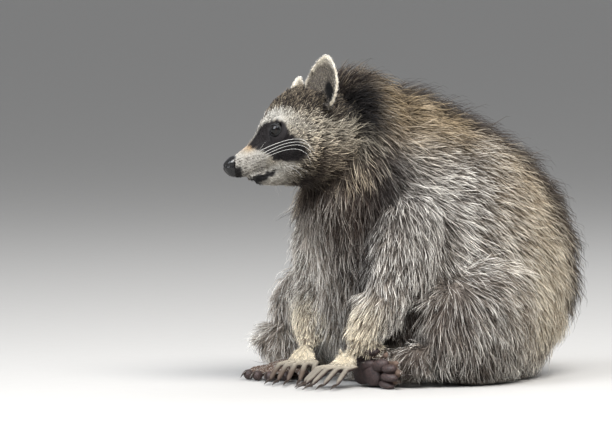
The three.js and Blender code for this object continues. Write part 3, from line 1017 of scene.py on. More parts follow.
def lie(net):
    """The way the hair points at each point of the skin: away from the nose on the head, back and
    down on the trunk, along each limb, fanning out on the thighs, and along the tail; then relaxed
    over the skin and laid in it."""
    points, normals = net.points, net.normals
    x, y, z = (points / MM).T
    head = to_head(points)
    zero = np.zeros(len(x))

    back = step(y, -95, -30)
    high = step(z, 60, 170)
    down = -1.0 + 0.75 * step(z, 90, 230) * back
    flow = np.stack([0.1 * np.sign(x), back * (0.45 + 0.65 * high), down], -1)
    front = step(y, -50, -80) * step(z, 225, 200)
    flow = mix(unit(flow), np.array([0, 0.05, -1.0]), front)

    away = head - np.array([0, -80, -34])
    away[:, 2] -= 0.4 * np.clip(head[:, 1] + 30, 0, 60) * step(head[:, 2], 14, -20)
    away[:, 0] *= 0.8
    on_neck = 0.7 * node_mask(net, "neck") * step(head[:, 1], 70, 40)
    on_head = np.clip(node_mask(net, "head", "muzzle", "lower_jaw") + on_neck, 0, 1)
    flow = mix(unit(flow), unit(away) @ np.array(HEAD_TURN).T, on_head)

    ear = node_mask(net, "ear")
    up = np.array([0, 0.25, 1]) @ np.array(HEAD_TURN).T
    flow = np.where(ear[:, None], up, flow)

    for label, side in SIDES:
        fan = points / MM - np.array([side * FAN_FROM[0], FAN_FROM[1], FAN_FROM[2]])
        fan = unit(fan)
        fan[:, 2] = np.minimum(fan[:, 2], 0.1)
        fan = fan + np.array([0, 0.35, -1.1])
        flow = np.where(node_mask(net, f"thigh_{label}")[:, None], unit(fan), flow)
        arm = np.stack([zero + 0.1 * side, 0.5 * step(z, 110, 190) - 0.05, zero - 1], -1)
        flow = np.where(node_mask(net, f"upper_arm_{label}")[:, None], unit(arm), flow)
        forearm = unit(np.array([-side * 0.35, -0.3, -1]))
        flow = np.where(node_mask(net, f"forearm_{label}")[:, None], forearm, flow)
        heading = math.radians(HAND_HEADING[label])
        reach = np.array([math.sin(heading), -math.cos(heading), -0.5])
        flow = np.where(node_mask(net, f"hand_{label}")[:, None], unit(reach), flow)
    flow = np.where(node_mask(net, "shank")[:, None], unit(np.array([0, -0.2, -1.0])), flow)
    flow = np.where(node_mask(net, "foot_right")[:, None], unit(np.array([0.52, -0.86, -0.2])), flow)
    flow = np.where(node_mask(net, "foot_left")[:, None], np.array([1.0, 0, 0]), flow)

    tail = node_mask(net, "tail")
    _, share = along_line(points[tail] / MM, TAIL_LINE)
    line = np.array(TAIL_LINE, float)
    run = np.gradient(line, axis=0)
    stations = np.linspace(0, 1, len(line))
    flow[tail] = np.stack([np.interp(share, stations, run[:, k]) for k in range(3)], -1)

    flow = unit(across(unit(flow), normals))
    for _ in range(FLOW_ROUNDS):
        flow = unit(across(net.relax(flow, FLOW_RELAX), normals))
    return flow


def bend(net, flow):
    """How the skin curves under the hair, for each metre: the change of the normal along an edge,
    for edges near the way the hair points, averaged at each point and relaxed."""
    a, b = net.edges.T
    run = net.points[b] - net.points[a]
    length_2 = np.maximum(np.sum(run * run, 1), 1e-12)
    turn = np.sum((net.normals[b] - net.normals[a]) * run, 1) / length_2
    total = np.zeros(len(net.points))
    weight = np.full(len(net.points), 1e-6)
    for end in (a, b):
        pull = np.sum(run * flow[end], 1) ** 2 / length_2
        total += np.bincount(end, turn * pull, minlength=len(total))
        weight += np.bincount(end, pull, minlength=len(total))
    return net.relax(np.clip(total / weight, -25, 45), 12)


def hair_lengths(net):
    """A hair's length in millimetres: by kind, shortest at the nose and round the eyes, longer on
    the cheeks and down the forearm's upper end."""
    length = by_kind(net, 1)
    head = to_head(net.points)
    y, z = head[:, 1:].T
    face = 4.2 + 4.5 * step(y, -25, 12) + 9.5 * step(y, -14, 30) * step(z, 18, -14)
    length = np.where(node_mask(net, "head"), face, length)
    snout = 1.9 + 3.0 * step(y, -62, -30)
    length = np.where(node_mask(net, "muzzle"), snout, length)
    length = np.where(node_mask(net, "lower_jaw"), 3 + 5 * step(y, -45, 5), length)
    length = np.where(node_mask(net, "neck"), 17 + 8 * step(y, 45, 80), length)
    length = np.where(node_mask(net, "forearm"), 6 + 13 * step(net.points[:, 2] / MM, 28, 84), length)
    length = np.where(node_mask(net, "hand"), 1.8 + 7 * step(net.points[:, 2] / MM, 15, 30), length)
    length = net.relax(length, 10)
    near_eye = step(eye_gap(head), EYE_RADIUS + 7, EYE_RADIUS + 2) * node_mask(net, "head", "muzzle")
    length = length * (1 - near_eye) + 2.2 * near_eye
    return length * (1 - 0.5 * ear_hole(head))


def unwrap(points):
    """Two coordinates from 0 to 1 on a skin part's own shape: the share along its longest axis, and
    the angle round that axis."""
    middle = points.mean(0)
    _, axes = np.linalg.eigh(np.cov((points - middle).T))
    local = (points - middle) @ axes[:, ::-1]
    v = (local[:, 0] - local[:, 0].min()) / max(np.ptp(local[:, 0]), 1e-9)
    u = np.arctan2(local[:, 1], local[:, 2]) / (2 * math.pi) + 0.5
    return np.stack([u, v], -1) * 0.99 + 0.003


def skin_fields(net):
    """Everything that the coat needs to know at each point of the skin."""
    root, middle, tip, black = markings(net)
    flow = lie(net)
    head = to_head(net.points)
    lengths = hair_lengths(net)
    density = by_kind(net, 3)
    density = np.where(node_mask(net, "head"), 150 - 60 * step(head[:, 1], -10, 30), density)
    flat = step(net.points[:, 2] / MM, 5, 1.5) * step(-net.normals[:, 2], 0.3, 0.8)
    density = density * (1 - 0.9 * flat)
    eye = eye_gap(head)
    clear = step(eye, EYE_RADIUS + 1.2, EYE_RADIUS + 2.2)
    density = density * np.where(node_mask(net, "head", "muzzle"), clear, 1)
    hand = node_mask(net, "hand")
    density = density * np.where(hand, step(net.points[:, 2] / MM, 4, 12), 1)
    sole = node_mask(net, "foot_left") & (net.normals[:, 1] < 0.1)
    density = np.where(sole, 0, density)
    toes = node_mask(net, "foot_right") & (net.normals[:, 2] < 0.2)
    density = np.where(toes, 0, density)
    bare = np.where(node_mask(net, "hand", "foot"), 0.85, 0.42)
    short = step(lengths, 10, 4)
    colour_share = np.maximum(bare, 0.8 * short)
    return {
        "root": root,
        "middle": middle,
        "tip": tip,
        "black": black,
        "flow": flow,
        "bend": bend(net, flow),
        "length": lengths,
        "depth": coat_depth(net) * (1 + 0.5 * crest(net.points)),
        "half": by_kind(net, 2),
        "density": density,
        "lock": net.relax(by_kind(net, 4), 6),
        "loose": net.relax(node_mask(net, "head") * step(head[:, 1], -24, 0), 6),
        "skin_colour": mix(root, middle, colour_share),
    }


# ---- Coat ----


def draw_roots(count, rng):
    """Random places on the skin, as triangle and three weights: even steps through the running
    total of area times density, each moved by a random part of a step."""
    net = work["net"]
    corner = net.points[net.triangles]
    area = np.linalg.norm(np.cross(corner[:, 1] - corner[:, 0], corner[:, 2] - corner[:, 0]), axis=1) / 2
    share = np.cumsum(area * work["density"][net.triangles].mean(1))
    marks = (np.arange(count) + rng.random(count)) / count * share[-1]
    triangle = np.minimum(np.searchsorted(share, marks), len(share) - 1)
    a, b = rng.random((2, count))
    fold = a + b > 1
    a, b = np.where(fold, 1 - a, a), np.where(fold, 1 - b, b)
    return triangle, np.stack([1 - a - b, a, b], -1)


def sample(field, triangle, weights):
    """A field of the skin at those places, as the weighted mean of the triangle's corners."""
    corner = field[work["net"].triangles[triangle]]
    if corner.ndim == 2:
        return np.sum(corner * weights, 1)
    return np.sum(corner * weights[..., None], 1)


def lock_of(points, width, rng_seed):
    """The number of each point's lock: the cell that it falls in, in a turned grid bent by waves."""
    turn = np.array(Euler((0.5, 0.8, 0.3)).to_matrix())
    local = points @ turn.T / (width[:, None] * MM)
    local += 0.45 * np.stack([ripple(points / MM, 23, rng_seed + k) for k in range(3)], -1)
    cell = np.floor(local).astype(np.int64)
    key = (cell[:, 0] * 73856093) ^ (cell[:, 1] * 19349663) ^ (cell[:, 2] * 83492791)
    return np.unique(key, return_inverse=True)[1]


def lock_mean(values, lock):
    """For each row, the mean over the rows of its lock."""
    count = np.bincount(lock)
    total = np.stack([np.bincount(lock, values[:, k]) for k in range(values.shape[1])], -1)
    return (total / count[:, None])[lock]


def swing(rng, count):
    """Normal random numbers, those beyond 2 brought back to 2."""
    return np.clip(rng.normal(size=count), -2, 2)


def comb(roots, rng):
    """Adds to the roots their tips' direction, lift, length and colours: the lie of the skin turned
    a little for each lock and each hair."""
    count = len(roots["point"])
    lock = lock_of(roots["point"], roots["lock"], GRID_BEND_SEED)
    lucky = np.clip(rng.normal(size=(lock.max() + 1, 3)), -2, 2)[lock]
    side = np.cross(roots["normal"], roots["flow"])
    long = step(roots["length"], 5, 20)
    angle = (0.05 + 0.09 * long) * lucky[:, 0]
    angle = angle + (0.07 + 0.15 * long + 0.25 * roots["loose"]) * rng.normal(size=count)
    run = unit(roots["flow"] * np.cos(angle)[:, None] + side * np.sin(angle)[:, None])
    guard = (rng.random(count) < GUARD_SHARE) & (roots["length"] > LONG_HAIR)
    reach = roots["length"] * np.exp(0.1 * lucky[:, 1] + 0.1 * swing(rng, count))
    reach *= np.where(guard, 1.1, 0.74)
    spread = 0.22 + 0.2 * roots["loose"]
    lift = roots["depth"] * np.exp(spread * swing(rng, count) + 0.12 * lucky[:, 2])
    lift *= np.where(guard, 1.0, 0.66)
    lift = np.maximum(lift, 0.16 * reach)
    roots.update(run=run, reach=reach * MM, lift=lift * MM, guard=guard, lucky=lucky, lock_number=lock)
    roots["sway"] = lucky[:, 2] + 0.9 * rng.normal(size=count)
    roots["half"] = roots["half"] * MM * np.where(guard, 0.72, 1.05) * np.exp(0.15 * rng.normal(size=count))

    shade = np.exp(0.24 * rng.normal(size=count) + 0.1 * lucky[:, 0])[:, None]
    dark = rng.random(count) < roots["black"]
    tip = roots["tip"] * shade
    tip = np.where(dark[:, None], roots["root"] * 0.5, tip)
    under = ~guard & (roots["length"] > LONG_HAIR)
    tip = np.where(under[:, None], roots["middle"] * shade, tip)
    tip = np.where(under[:, None] & ~dark[:, None], tip * 0.62, tip)
    middle = np.where(under[:, None], (roots["middle"] + 2 * roots["root"]) / 3, roots["middle"] * shade)
    roots["middle"] = np.where(dark[:, None], middle * 0.6, middle)
    roots["tip"] = tip
    return roots


def tuft_paths(roots, shares):
    """Middle lines of the tufts at those shares s of their length: along the skin by s, up from it
    by 1 - (1 - s) to the power 1.7, down with the skin's own curve by s squared, bowed sideways as a
    half sine, and drawn to the lock's mean tip. A tuft that would go through the ground is made
    shorter, and none goes further past the solids' box than a small margin."""
    s = np.asarray(shares)[None, :, None]
    run, normal = roots["run"][:, None], roots["normal"][:, None]
    reach, lift = roots["reach"][:, None, None], roots["lift"][:, None, None]
    curve = roots["bend"][:, None, None]
    path = roots["point"][:, None] + run * reach * s + normal * lift * (1 - (1 - s) ** 1.7)
    path = path - normal * curve * (reach * s) ** 2 / 2
    sway = np.cross(roots["normal"], roots["run"])[:, None] * reach * 0.06 * roots["sway"][:, None, None]
    path = path + sway * np.sin(s * math.pi)
    sag = step(roots["reach"] / MM, 12, 34)[:, None, None] * reach * 0.13
    path[..., 2:] -= sag * s**2
    tips = path[:, -1]
    share = bpy.context.scene.raccoon_coat.lock_pull * (1 - 0.6 * roots["loose"][:, None])
    pull = share * (lock_mean(tips, roots["lock_number"]) - tips)
    path = path + pull[:, None] * s**1.5
    start = path[:, :1]
    drop = start[..., 2] - path[..., 2].min(1, keepdims=True)
    room = np.clip((start[..., 2] - 0.001) / np.maximum(drop, 1e-6), 0.12, 1)
    path = start + (path - start) * room[..., None]
    path[..., 2] = np.maximum(path[..., 2], GROUND)
    low, high = np.array(CAD_BOX)
    margin = BOX_SHARE * (high - low) + BOX_MARGIN
    return np.clip(path, low - margin, high + margin)


def tuft_mesh(name, roots, rings):
    """Tufts as one mesh. Each is a three-sided horn: rings of three points round its middle line,
    closed by a triangle at the root and running to a point at the tip. Its map OFBake is a small
    patch at the root's place on the skin part's unwrap."""
    count = len(roots["point"])
    shares = np.append(np.linspace(0, 0.78, rings), 1.0)
    path = tuft_paths(roots, shares)
    run = unit(path[:, 1:] - path[:, :-1])
    side = unit(np.cross(run, roots["normal"][:, None]))
    up = np.cross(side, run)
    width = {2: (1.0, 0.72), 3: (0.9, 1.0, 0.6)}[rings]
    angle = np.array([90, 210, 330]) * math.pi / 180
    ring = side[:, :, None] * np.cos(angle)[:, None] + 0.7 * up[:, :, None] * np.sin(angle)[:, None]
    half = roots["half"][:, None, None, None] * np.array(width)[:, None, None]
    around = path[:, :-1, None] + ring * half
    points = np.concatenate([around.reshape(count, -1, 3), path[:, -1:]], 1)
    each = 3 * rings + 1
    faces = [[2, 1, 0]]
    for r in range(rings - 1):
        faces += [[3 * r + k, 3 * r + (k + 1) % 3, 3 * r + 3 + (k + 1) % 3, 3 * r + 3 + k] for k in range(3)]
    last = 3 * rings - 3
    faces += [[last + k, last + (k + 1) % 3, each - 1] for k in range(3)]
    pattern = np.array(sum(faces, []))
    corners = (np.arange(count)[:, None] * each + pattern).ravel()
    mesh = new_mesh(name, points.reshape(-1, 3), corners, np.tile([len(f) for f in faces], count))

    blend = np.stack([np.interp(shares, (0.15, 0.46, 0.74), w) for w in np.eye(3)], -1)
    stops = np.stack([roots["root"], roots["middle"], roots["tip"]], 1)
    colours = np.einsum("sk,nkc->nsc", blend, stops)
    rows = np.append(np.repeat(np.arange(rings), 3), rings)
    paint(mesh, "Fur", colours[:, rows].reshape(-1, 3))
    across_patch = np.append(np.tile([0.0, 0.5, 1.0], rings), 0.5)
    patch = np.stack([across_patch, shares[rows]], -1) * BAKE_PATCH
    uv = (roots["uv"][:, None] + patch)[:, pattern].reshape(-1, 2)
    layer = mesh.uv_layers.new(name="OFBake")
    layer.uv.foreach_set("vector", np.ascontiguousarray(uv, np.float32).ravel())
    return mesh


def pick(roots, chosen):
    return {key: value[chosen] for key, value in roots.items()}


FACE_LIMIT = 185000  # triangles in one piece of the coat
ROOT_FIELDS = (
    "root", "middle", "tip", "black", "flow", "bend", "length", "depth", "half", "lock", "loose",
)


class RACCOON_OT_coat(bpy.types.Operator):
    """Lay the coat on the skin: an underfur and guard hairs on each part"""

    bl_idname = "raccoon.coat"
    bl_label = "Coat"

    def execute(self, context):
        settings = context.scene.raccoon_coat
        if "net" not in work:
            raise RuntimeError("make the skin before the coat")
        rng = np.random.default_rng(settings.seed)
        net = work["net"]
        count = int(settings.tufts * (1))
        triangle, weights = draw_roots(count, rng)
        roots = {key: sample(work[key], triangle, weights) for key in ROOT_FIELDS}
        roots["point"] = sample(net.points, triangle, weights)
        roots["normal"] = unit(sample(net.normals, triangle, weights))
        roots["flow"] = unit(across(roots["flow"], roots["normal"]))
        kinds = np.array([KINDS.index(kind_of(n)) for n in flesh_nodes()])
        kind = kinds[net.node[net.triangles[triangle, 0]]]
        roots = comb(roots, rng)
        roots["point"] = roots["point"] - roots["normal"] * ROOT_DEPTH
        for number, name in enumerate(KINDS):
            of_kind = np.flatnonzero(kind == number)
            if len(of_kind) == 0:
                continue
            of_kind = of_kind[np.argsort(roots["point"][of_kind, 0], kind="stable")]
            part = pick(roots, of_kind)
            part["uv"] = unwrap(part["point"])
            for layer, chosen, rings in (("fur", ~part["guard"], 2), ("guard_hair", part["guard"], 3)):
                rows = np.flatnonzero(chosen)
                if len(rows) == 0:
                    continue
                pieces = math.ceil(len(rows) * (6 * rings - 2) / FACE_LIMIT)
                for i, some in enumerate(np.array_split(rows, pieces)):
                    title = f"{layer}_{name}" + (f"_{i + 1}" if pieces > 1 else "")
                    mesh = tuft_mesh(title, pick(part, some), rings)
                    add_piece(title, mesh, bpy.data.materials["Fur"], "coat")
        return {"FINISHED"}


# ---- Eyes, nose, claws, pads and whiskers ----


def sphere_rings(centre, axis, radius, rows, columns, bulge=None):
    """Rings of a ball from its front pole to its back pole, about an axis: ring i is at polar angle
    i of rows; bulge(angle) adds to the radius."""
    polar = np.linspace(POLE, math.pi - POLE, rows)
    size = radius + (bulge(polar) if bulge else 0)
    turn = np.array(Vector((0, 0, 1)).rotation_difference(Vector(axis)).to_matrix())
    angle = np.arange(columns) * 2 * math.pi / columns
    x = np.sin(polar)[:, None] * np.cos(angle)
    y = np.sin(polar)[:, None] * np.sin(angle)
    z = np.cos(polar)[:, None] * np.ones(columns)
    return np.stack([x, y, z], -1) * np.reshape(size, (-1, 1, 1)) @ turn.T + centre


def eye_axis(side):
    """The way an eye looks, in the row frame."""
    return np.array(HEAD_TURN) @ unit(np.array([side * GAZE[0], GAZE[1], GAZE[2]]))


def lid_rings(side, radius):
    """Rings of the lids round an eye, in metres. The opening is an oval on the eyeball, wider than
    high; from its rim the lid rises, rounds over and goes down to the ball again, outside."""
    forward = eye_axis(side)
    centre = from_head([side * EYE_AT[0], EYE_AT[1], EYE_AT[2]])
    up = unit(across(np.array([0, 0, 1.0]), forward))
    right = np.cross(up, forward)
    columns = 64
    angle = np.arange(columns) * 2 * math.pi / columns
    c, s = np.cos(angle), np.sin(angle)
    height = np.where(s > 0, 40, 38)
    opening = np.radians(1 / np.sqrt((c / 58) ** 2 + (s / height) ** 2))
    turn = np.linspace(0, 2 * math.pi, 14, endpoint=False)
    out = np.radians(20) * (1 - np.cos(turn)) / 2
    rise = np.where(turn < math.pi, 0.15 + 0.45 * np.sin(turn), -0.6 * np.sin(turn - math.pi))
    polar = opening[None] + out[:, None]
    size = radius + rise[:, None] * MM
    direction = (
        np.cos(polar)[..., None] * forward
        + (np.sin(polar) * c)[..., None] * right
        + (np.sin(polar) * s)[..., None] * up
    )
    return centre + direction * size[..., None]


class RACCOON_OT_eyes(bpy.types.Operator):
    """Make the eyeballs and the lids round them"""

    bl_idname = "raccoon.eyes"
    bl_label = "Eyes and lids"

    def execute(self, context):
        face = context.scene.raccoon_face
        for label, side in SIDES:
            centre = from_head([side * EYE_AT[0], EYE_AT[1], EYE_AT[2]])
            bulge = lambda polar: 0.5 * MM * np.exp(-((polar / 0.5) ** 2))
            radius = face.eye - 0.05 * MM
            rings = sphere_rings(centre, eye_axis(side), radius, EYE_ROWS, EYE_COLUMNS, bulge)
            mesh = outward(new_mesh(f"eyeball_{label}", *closed_rings(rings)))
            polar = np.repeat(np.linspace(POLE, math.pi - POLE, EYE_ROWS), EYE_COLUMNS)
            paint(mesh, "Polar", np.repeat((polar / math.pi)[:, None], 3, 1))
            add_piece(f"eyeball_{label}", mesh, bpy.data.materials["Eye"], "eye", f"eye_{label}")
            mesh = outward(new_mesh(f"lids_{label}", *closed_rings(lid_rings(side, face.eye), loop=True)))
            add_piece(f"lids_{label}", mesh, bpy.data.materials["Lid"], "nose_skin")
        return {"FINISHED"}


class RACCOON_OT_nose(bpy.types.Operator):
    """Make the nose with its nostrils"""

    bl_idname = "raccoon.nose"
    bl_label = "Nose"

    def execute(self, context):
        """A ball with the half sizes NOSE_HALF, squared off a little, whose top and foot slant back
        and whose rear widens into the muzzle, with two dents for the nostrils, a notch beside each
        and a groove down the middle."""
        rings = sphere_rings(np.zeros(3), (0, -1, 0), 1.0, 56, 64)
        shape = np.sign(rings) * np.abs(rings) ** 0.86 * NOSE_HALF
        shape[..., 0] *= 1 - 0.35 * step(shape[..., 2], 0, -9)
        shape[..., [0, 2]] *= 1 + 0.08 * step(shape[..., 1:2], -2, 4)
        shape[..., 1] += 3.4 * step(shape[..., 2], 1, 10) + 2.4 * step(shape[..., 2], -1, -9)
        x, y, z = np.moveaxis(shape, -1, 0)
        front = step(y, 1, -3)
        wide = np.abs(x)
        slit = np.exp(-(((wide - 4.0) / 1.9) ** 2) - ((z - 1.2 - 0.5 * (wide - 4)) / 1.5) ** 2)
        wing = np.exp(-(((wide - 7.4) / 2.4) ** 2) - ((z + 0.8) / 1.2) ** 2)
        cleft = np.exp(-((x / 0.6) ** 2)) * step(z, 1, -2)
        shape[..., 1] += front * (3.2 * slit + 0.9 * cleft)
        shape[..., 0] -= np.sign(x) * 1.3 * wing
        points = from_head(shape + np.array(NOSE_AT))
        mesh = outward(new_mesh("nose_pad", *closed_rings(points)))
        add_piece("nose_pad", mesh, bpy.data.materials["Nose"], "nose_skin", "nose")
        return {"FINISHED"}


def node_points(name):
    """Points of a CAD node."""
    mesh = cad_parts[name].data
    co = np.empty(len(mesh.vertices) * 3, np.float32)
    mesh.vertices.foreach_get("co", co)
    return co.reshape(-1, 3).astype(float)


def claw_form(name, paw_middle):
    """A claw along its CAD node: a curve from the end near the paw to the far end, lifted in the
    middle, with radii that shrink to the tip."""
    points = node_points(name)
    centre = points.mean(0)
    run = unit(centre - paw_middle)
    reach = (points - centre) @ run
    base = points[reach < np.quantile(reach, 0.3)].mean(0)
    tip = points[np.argmax(reach)]
    t = np.linspace(0, 1, 9)
    path = base + (tip - base) * t[:, None]
    path[:, 2] += 0.0011 * np.sin(t * math.pi)
    radii = 0.0013 * (1 - t**1.6) + 0.00012
    path[:, 2] = np.maximum(path[:, 2], 1.2 * radii + 0.0002)
    return closed_rings(tube(path, radii, 8, flat=1.15))


class RACCOON_OT_claws(bpy.types.Operator):
    """Make the claws of each paw"""

    bl_idname = "raccoon.claws"
    bl_label = "Claws"

    def execute(self, context):
        for paw in ("hand_left", "hand_right", "foot_left", "foot_right"):
            names = sorted(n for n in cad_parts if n.startswith(f"claw_{paw}"))
            middle = node_points(paw).mean(0)
            mesh = outward(new_mesh(f"claws_{paw}", *joined([claw_form(n, middle) for n in names])))
            add_piece(f"claws_{paw}", mesh, bpy.data.materials["Claw"], "claw", *names)
        return {"FINISHED"}


def pad_form(centre, half, turn):
    """A pad: a ball with three half sizes in millimetres, turned, in the row frame."""
    rings = sphere_rings(np.zeros(3), (0, 0, 1), 1.0, 18, 24)
    rings = np.sign(rings) * np.abs(rings) ** 0.92 * np.array(half)
    points = rings @ np.array(turn).T + np.array(centre)
    points[..., 2] = np.maximum(points[..., 2], 0.5)
    return closed_rings(points * MM)


# Pads of the folded foot, in the row frame: place along X and Z, half sizes along the toe, across it
# and out of the sole, and its tilt in degrees. The sole comes first, then the inner toe in two
# lengths, then the others.
FOOT_PADS = (
    (37, 13, 13, 11.5, 5, 0),
    (53, 11, 13, 9.5, 5.5, 8),
    (46, 20, 10, 5.5, 6, -14),
    (38, 28, 9, 4.6, 6.5, -24),
    (52, 32.5, 8.5, 4, 7, -6),
    (66, 21, 10, 5.6, 6.5, -16),
    (80, 18.5, 8, 4.2, 6, -4),
    (80, 11, 10, 4.2, 6.5, 4),
    (76, 3.8, 9.5, 3.8, 6, 8),
)
# Ends of the toes of the foot that is flat on the ground, and the pad at each: how far its middle
# is from that place, and its half sizes.
TOE_ENDS = ((-47.4, -78.2), (-47.9, -99.1), (-57.4, -111.3), (-72.6, -113.9), (-88.1, -112.1))
TOE_PAD_SHIFT = (-0.4, 4.2)
TOE_PAD_HEIGHT = 5.0
TOE_PAD_HALF = (4.5, 6.2, 4.7)


class RACCOON_OT_pads(bpy.types.Operator):
    """Make the bare pads under the folded hind foot and at the toes of the other"""

    bl_idname = "raccoon.pads"
    bl_label = "Pads"

    def execute(self, context):
        forms = []
        for x, z, long, wide, thick, tilt in FOOT_PADS:
            turn = Matrix.Rotation(math.radians(-4), 3, "Z") @ Matrix.Rotation(math.radians(tilt), 3, "Y")
            middle = (x, FOLDED_FOOT_AT[1] + 1 - 0.07 * (x - FOLDED_FOOT_AT[0]), z)
            forms.append(pad_form(middle, (long, thick, wide), turn))
        mesh = outward(new_mesh("pads_foot_left", *joined(forms)))
        add_piece("pads_foot_left", mesh, bpy.data.materials["Sole"], "naked_skin")
        turn = Matrix.Rotation(math.radians(FOOT_HEADING), 3, "Z")
        dx, dy = TOE_PAD_SHIFT
        forms = [pad_form((x + dx, y + dy, TOE_PAD_HEIGHT), TOE_PAD_HALF, turn) for x, y in TOE_ENDS]
        mesh = outward(new_mesh("pads_foot_right", *joined(forms)))
        add_piece("pads_foot_right", mesh, bpy.data.materials["Sole"], "naked_skin")
        return {"FINISHED"}


# Whiskers of one side, in the head's frame: root, middle and tip, and share of the full thickness.
WHISKERS = (
    ((20.5, -41, -24), (52, -14.4, -20), (62, -5, -33), 1),
    ((20.5, -38.5, -26.5), (53, -13.5, -23), (64, -1, -38), 1),
    ((20.5, -37, -28.5), (54, -14, -26), (65, -3, -42), 0.9),
    ((21, -36, -30.5), (54, -15, -30), (64, -6, -46), 0.8),
    ((18, -41, -23), (25, -39, -19.5), (29, -37, -17), 0.5),
    ((26, -19, -40), (36, -14, -45), (43, -9, -54), 0.7),
    ((27, -17, -39), (38, -12, -43), (47, -5, -50), 0.6),
)


class RACCOON_OT_whiskers(bpy.types.Operator):
    """Make the whiskers"""

    bl_idname = "raccoon.whiskers"
    bl_label = "Whiskers"

    def execute(self, context):
        """Each is a tube along the parabola through its root, middle and tip."""
        face = context.scene.raccoon_face
        s = np.linspace(0, 1, 12)[:, None]
        for label, side in SIDES:
            forms = []
            for root, middle, tip, share in WHISKERS:
                start, half, end = (np.array(v, float) * [side, 1, 1] for v in (root, middle, tip))
                path = start * (1 - s) * (1 - 2 * s) + 4 * half * s * (1 - s) + end * s * (2 * s - 1)
                radii = face.whisker_half * share * (1 - 0.8 * s[:, 0])
                forms.append(closed_rings(tube(from_head(path), radii, 5)))
            mesh = outward(new_mesh(f"whiskers_{label}", *joined(forms)))
            add_piece(f"whiskers_{label}", mesh, bpy.data.materials["Whisker"], "whisker")
        return {"FINISHED"}


# ---- Materials of the pieces ----


def eye_material(iris_share):
    """Dark brown iris with fine rays and a black pupil under a clear wet coat: the colour is a ramp
    on the angle from the front."""
    material, tree, principled = shader("Eye", 0.25, 0.0, Coat_Weight=1.0, Coat_Roughness=0.01, Coat_IOR=1.42)
    polar = tree.nodes.new("ShaderNodeAttribute")
    polar.attribute_name = "Polar"
    where = tree.nodes.new("ShaderNodeTexCoord")
    noise = tree.nodes.new("ShaderNodeTexNoise")
    noise.inputs["Scale"].default_value = 1400
    shake = math_node(tree, "MULTIPLY_ADD", noise.outputs["Fac"], 0.02, -0.01)
    value = math_node(tree, "ADD", polar.outputs["Fac"], shake)
    ramp = tree.nodes.new("ShaderNodeValToRGB")
    stops = ramp.color_ramp.elements
    stops[0].position, stops[0].color = 0.0, (0.001, 0.001, 0.001, 1)
    stops[1].position, stops[1].color = iris_share * 0.5, (0.001, 0.001, 0.001, 1)
    for position, hexadecimal in ((0.56, "0a0604"), (0.85, "120a06"), (1.0, "020202")):
        stop = stops.new(iris_share * position)
        stop.color = (*tone(hexadecimal), 1)
    link_all(
        tree,
        [
            (where.outputs["Object"], noise.inputs["Vector"]),
            (value, ramp.inputs["Fac"]),
            (ramp.outputs["Color"], principled.inputs["Base Color"]),
        ],
    )
    return material


def build_materials():
    """All the materials, by name."""
    shades = palette()
    mottle_group()
    cobble_group()
    mottled("Skin", None, 700, 0.5, 0.7, 0.25, attribute="Markings", specular=0.28)
    mottled("Fur", None, 900, 0.5, 0.62, 0.05, attribute="Fur", specular=0.28)
    mottled("Claw", shades["claw"], 500, 0.7, 0.35, 0.05, Coat_Weight=0.15)
    mottled("Whisker", tone("f2efe8"), 800, 0.2, 0.3, 0.01)
    leather("Nose", shades["nose"], 1100, 0.28, 0.07)
    leather("Lid", tone("030303"), 1300, 0.75, 0.05)
    leather("Sole", shades["sole"], 420, 0.62, 0.5)
    eye_material(math.asin(IRIS_RADIUS / EYE_RADIUS) / math.pi)


# ---- Stage ----

WORLD_COLOUR = (0.84, 0.86, 0.89, 1)
WORLD_STRENGTH = 0.5
LOOK_RIGHT, LOOK_UP = -0.0865, 0.157  # metres: where the camera looks, to its right and above the floor
LIGHTS_AROUND = Vector((0, 0, 0.15))
# Each light's name, degrees round from the camera, degrees above the level, distance and size in
# metres, power in watts, and colour.
LIGHTS = (
    ("key", 28, 54, 2.3, 1.1, 70, (1.0, 0.97, 0.93)),
    ("catch", 6, 50, 2.3, 0.8, 26, (0.9, 0.95, 1.0)),
    ("fill", -44, 38, 2.5, 1.6, 62, (0.9, 0.94, 1.0)),
    ("back", 150, 50, 2.4, 1.6, 22, (0.95, 0.97, 1.0)),
)


def towards(azimuth, elevation):
    """The way from the model to a place at those angles, counted from the front and the level."""
    level = math.cos(elevation)
    return Vector((math.sin(azimuth) * level, -math.cos(azimuth) * level, math.sin(elevation)))


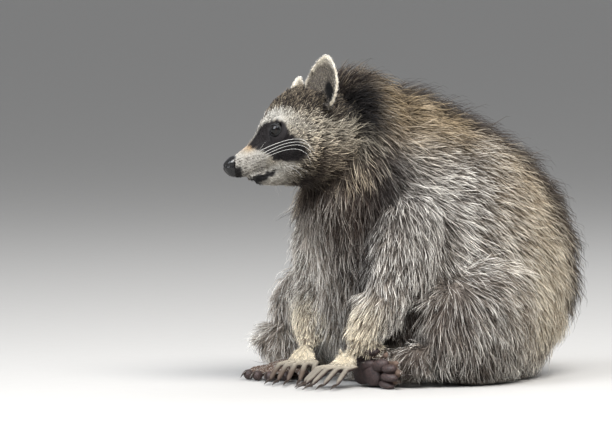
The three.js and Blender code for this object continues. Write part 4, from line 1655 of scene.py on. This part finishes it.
class RACCOON_OT_stage(bpy.types.Operator):
    """Set the floor, the lights and the camera"""

    bl_idname = "raccoon.stage"
    bl_label = "Stage"

    def execute(self, context):
        stage = context.scene.raccoon_stage
        angle = np.arange(FLOOR_SIDES) * 2 * math.pi / FLOOR_SIDES
        disc = np.stack([np.cos(angle), np.sin(angle), 0 * angle], -1) * FLOOR_RADIUS
        disc[:, 2] = -FLOOR_DROP
        floor = add_object("floor", new_mesh("floor", disc, np.arange(FLOOR_SIDES), [FLOOR_SIDES]))
        floor.data.materials.append(mottled("Floor", stage.floor, 60, 0.03, 0.8, 0.02))

        world = bpy.data.worlds.new("studio")
        context.scene.world = world
        world.use_nodes = True
        world.node_tree.nodes["Background"].inputs["Color"].default_value = WORLD_COLOUR
        world.node_tree.nodes["Background"].inputs["Strength"].default_value = WORLD_STRENGTH

        azimuth, elevation = stage.azimuth, stage.elevation
        away = towards(azimuth, elevation)
        right = Vector((math.cos(azimuth), math.sin(azimuth), 0))
        target = right * LOOK_RIGHT + Vector((0, 0, LOOK_UP / math.cos(elevation)))
        camera = bpy.data.objects.new("camera", bpy.data.cameras.new("camera"))
        context.scene.collection.objects.link(camera)
        camera.data.lens = stage.focal
        camera.data.sensor_width = 36
        camera.data.clip_end = 900
        context.scene.view_settings.view_transform = "Standard"
        camera.location = target + away * stage.distance
        camera.rotation_euler = (-away).to_track_quat("-Z", "Y").to_euler()
        context.scene.camera = camera

        for name, turn, height, far, size, power, tint in LIGHTS:
            lamp = bpy.data.lights.new(name, "AREA")
            lamp.size, lamp.energy, lamp.color = size, power, tint
            holder = bpy.data.objects.new(name, lamp)
            context.scene.collection.objects.link(holder)
            way = towards(azimuth + math.radians(turn), math.radians(height))
            holder.location = LIGHTS_AROUND + way * far
            holder.rotation_euler = (-way).to_track_quat("-Z", "Y").to_euler()
        return {"FINISHED"}


class RACCOON_PT_panel(bpy.types.Panel):
    """Lists the pieces and their sizes"""

    bl_idname = "RACCOON_PT_panel"
    bl_label = "Raccoon"
    bl_space_type = "VIEW_3D"
    bl_region_type = "UI"
    bl_category = "Raccoon"

    def draw(self, context):
        for operator in OPERATORS:
            self.layout.operator(operator.bl_idname)
        for group in (key for key, _ in SETTINGS):
            settings = getattr(context.scene, group)
            for key in settings.__annotations__:
                self.layout.prop(settings, key)


OPERATORS = (
    RACCOON_OT_skin,
    RACCOON_OT_coat,
    RACCOON_OT_eyes,
    RACCOON_OT_nose,
    RACCOON_OT_claws,
    RACCOON_OT_pads,
    RACCOON_OT_whiskers,
    RACCOON_OT_stage,
)
SETTINGS = (
    ("raccoon_coat", CoatSettings),
    ("raccoon_colours", CoatColours),
    ("raccoon_face", FaceSettings),
    ("raccoon_stage", StageSettings),
)


def register():
    for _, group in SETTINGS:
        bpy.utils.register_class(group)
    for key, group in SETTINGS:
        setattr(bpy.types.Scene, key, bpy.props.PointerProperty(type=group))
    for made in (*OPERATORS, RACCOON_PT_panel):
        bpy.utils.register_class(made)


def unregister():
    for made in (RACCOON_PT_panel, *reversed(OPERATORS)):
        bpy.utils.unregister_class(made)
    for key, group in reversed(SETTINGS):
        delattr(bpy.types.Scene, key)
        bpy.utils.unregister_class(group)


def main():
    register()
    build_materials()
    bpy.ops.raccoon.skin()
    bpy.ops.raccoon.coat()
    bpy.ops.raccoon.eyes()
    bpy.ops.raccoon.nose()
    bpy.ops.raccoon.claws()
    bpy.ops.raccoon.pads()
    bpy.ops.raccoon.whiskers()
    bpy.ops.raccoon.stage()


if __name__ == "__main__":
    main()
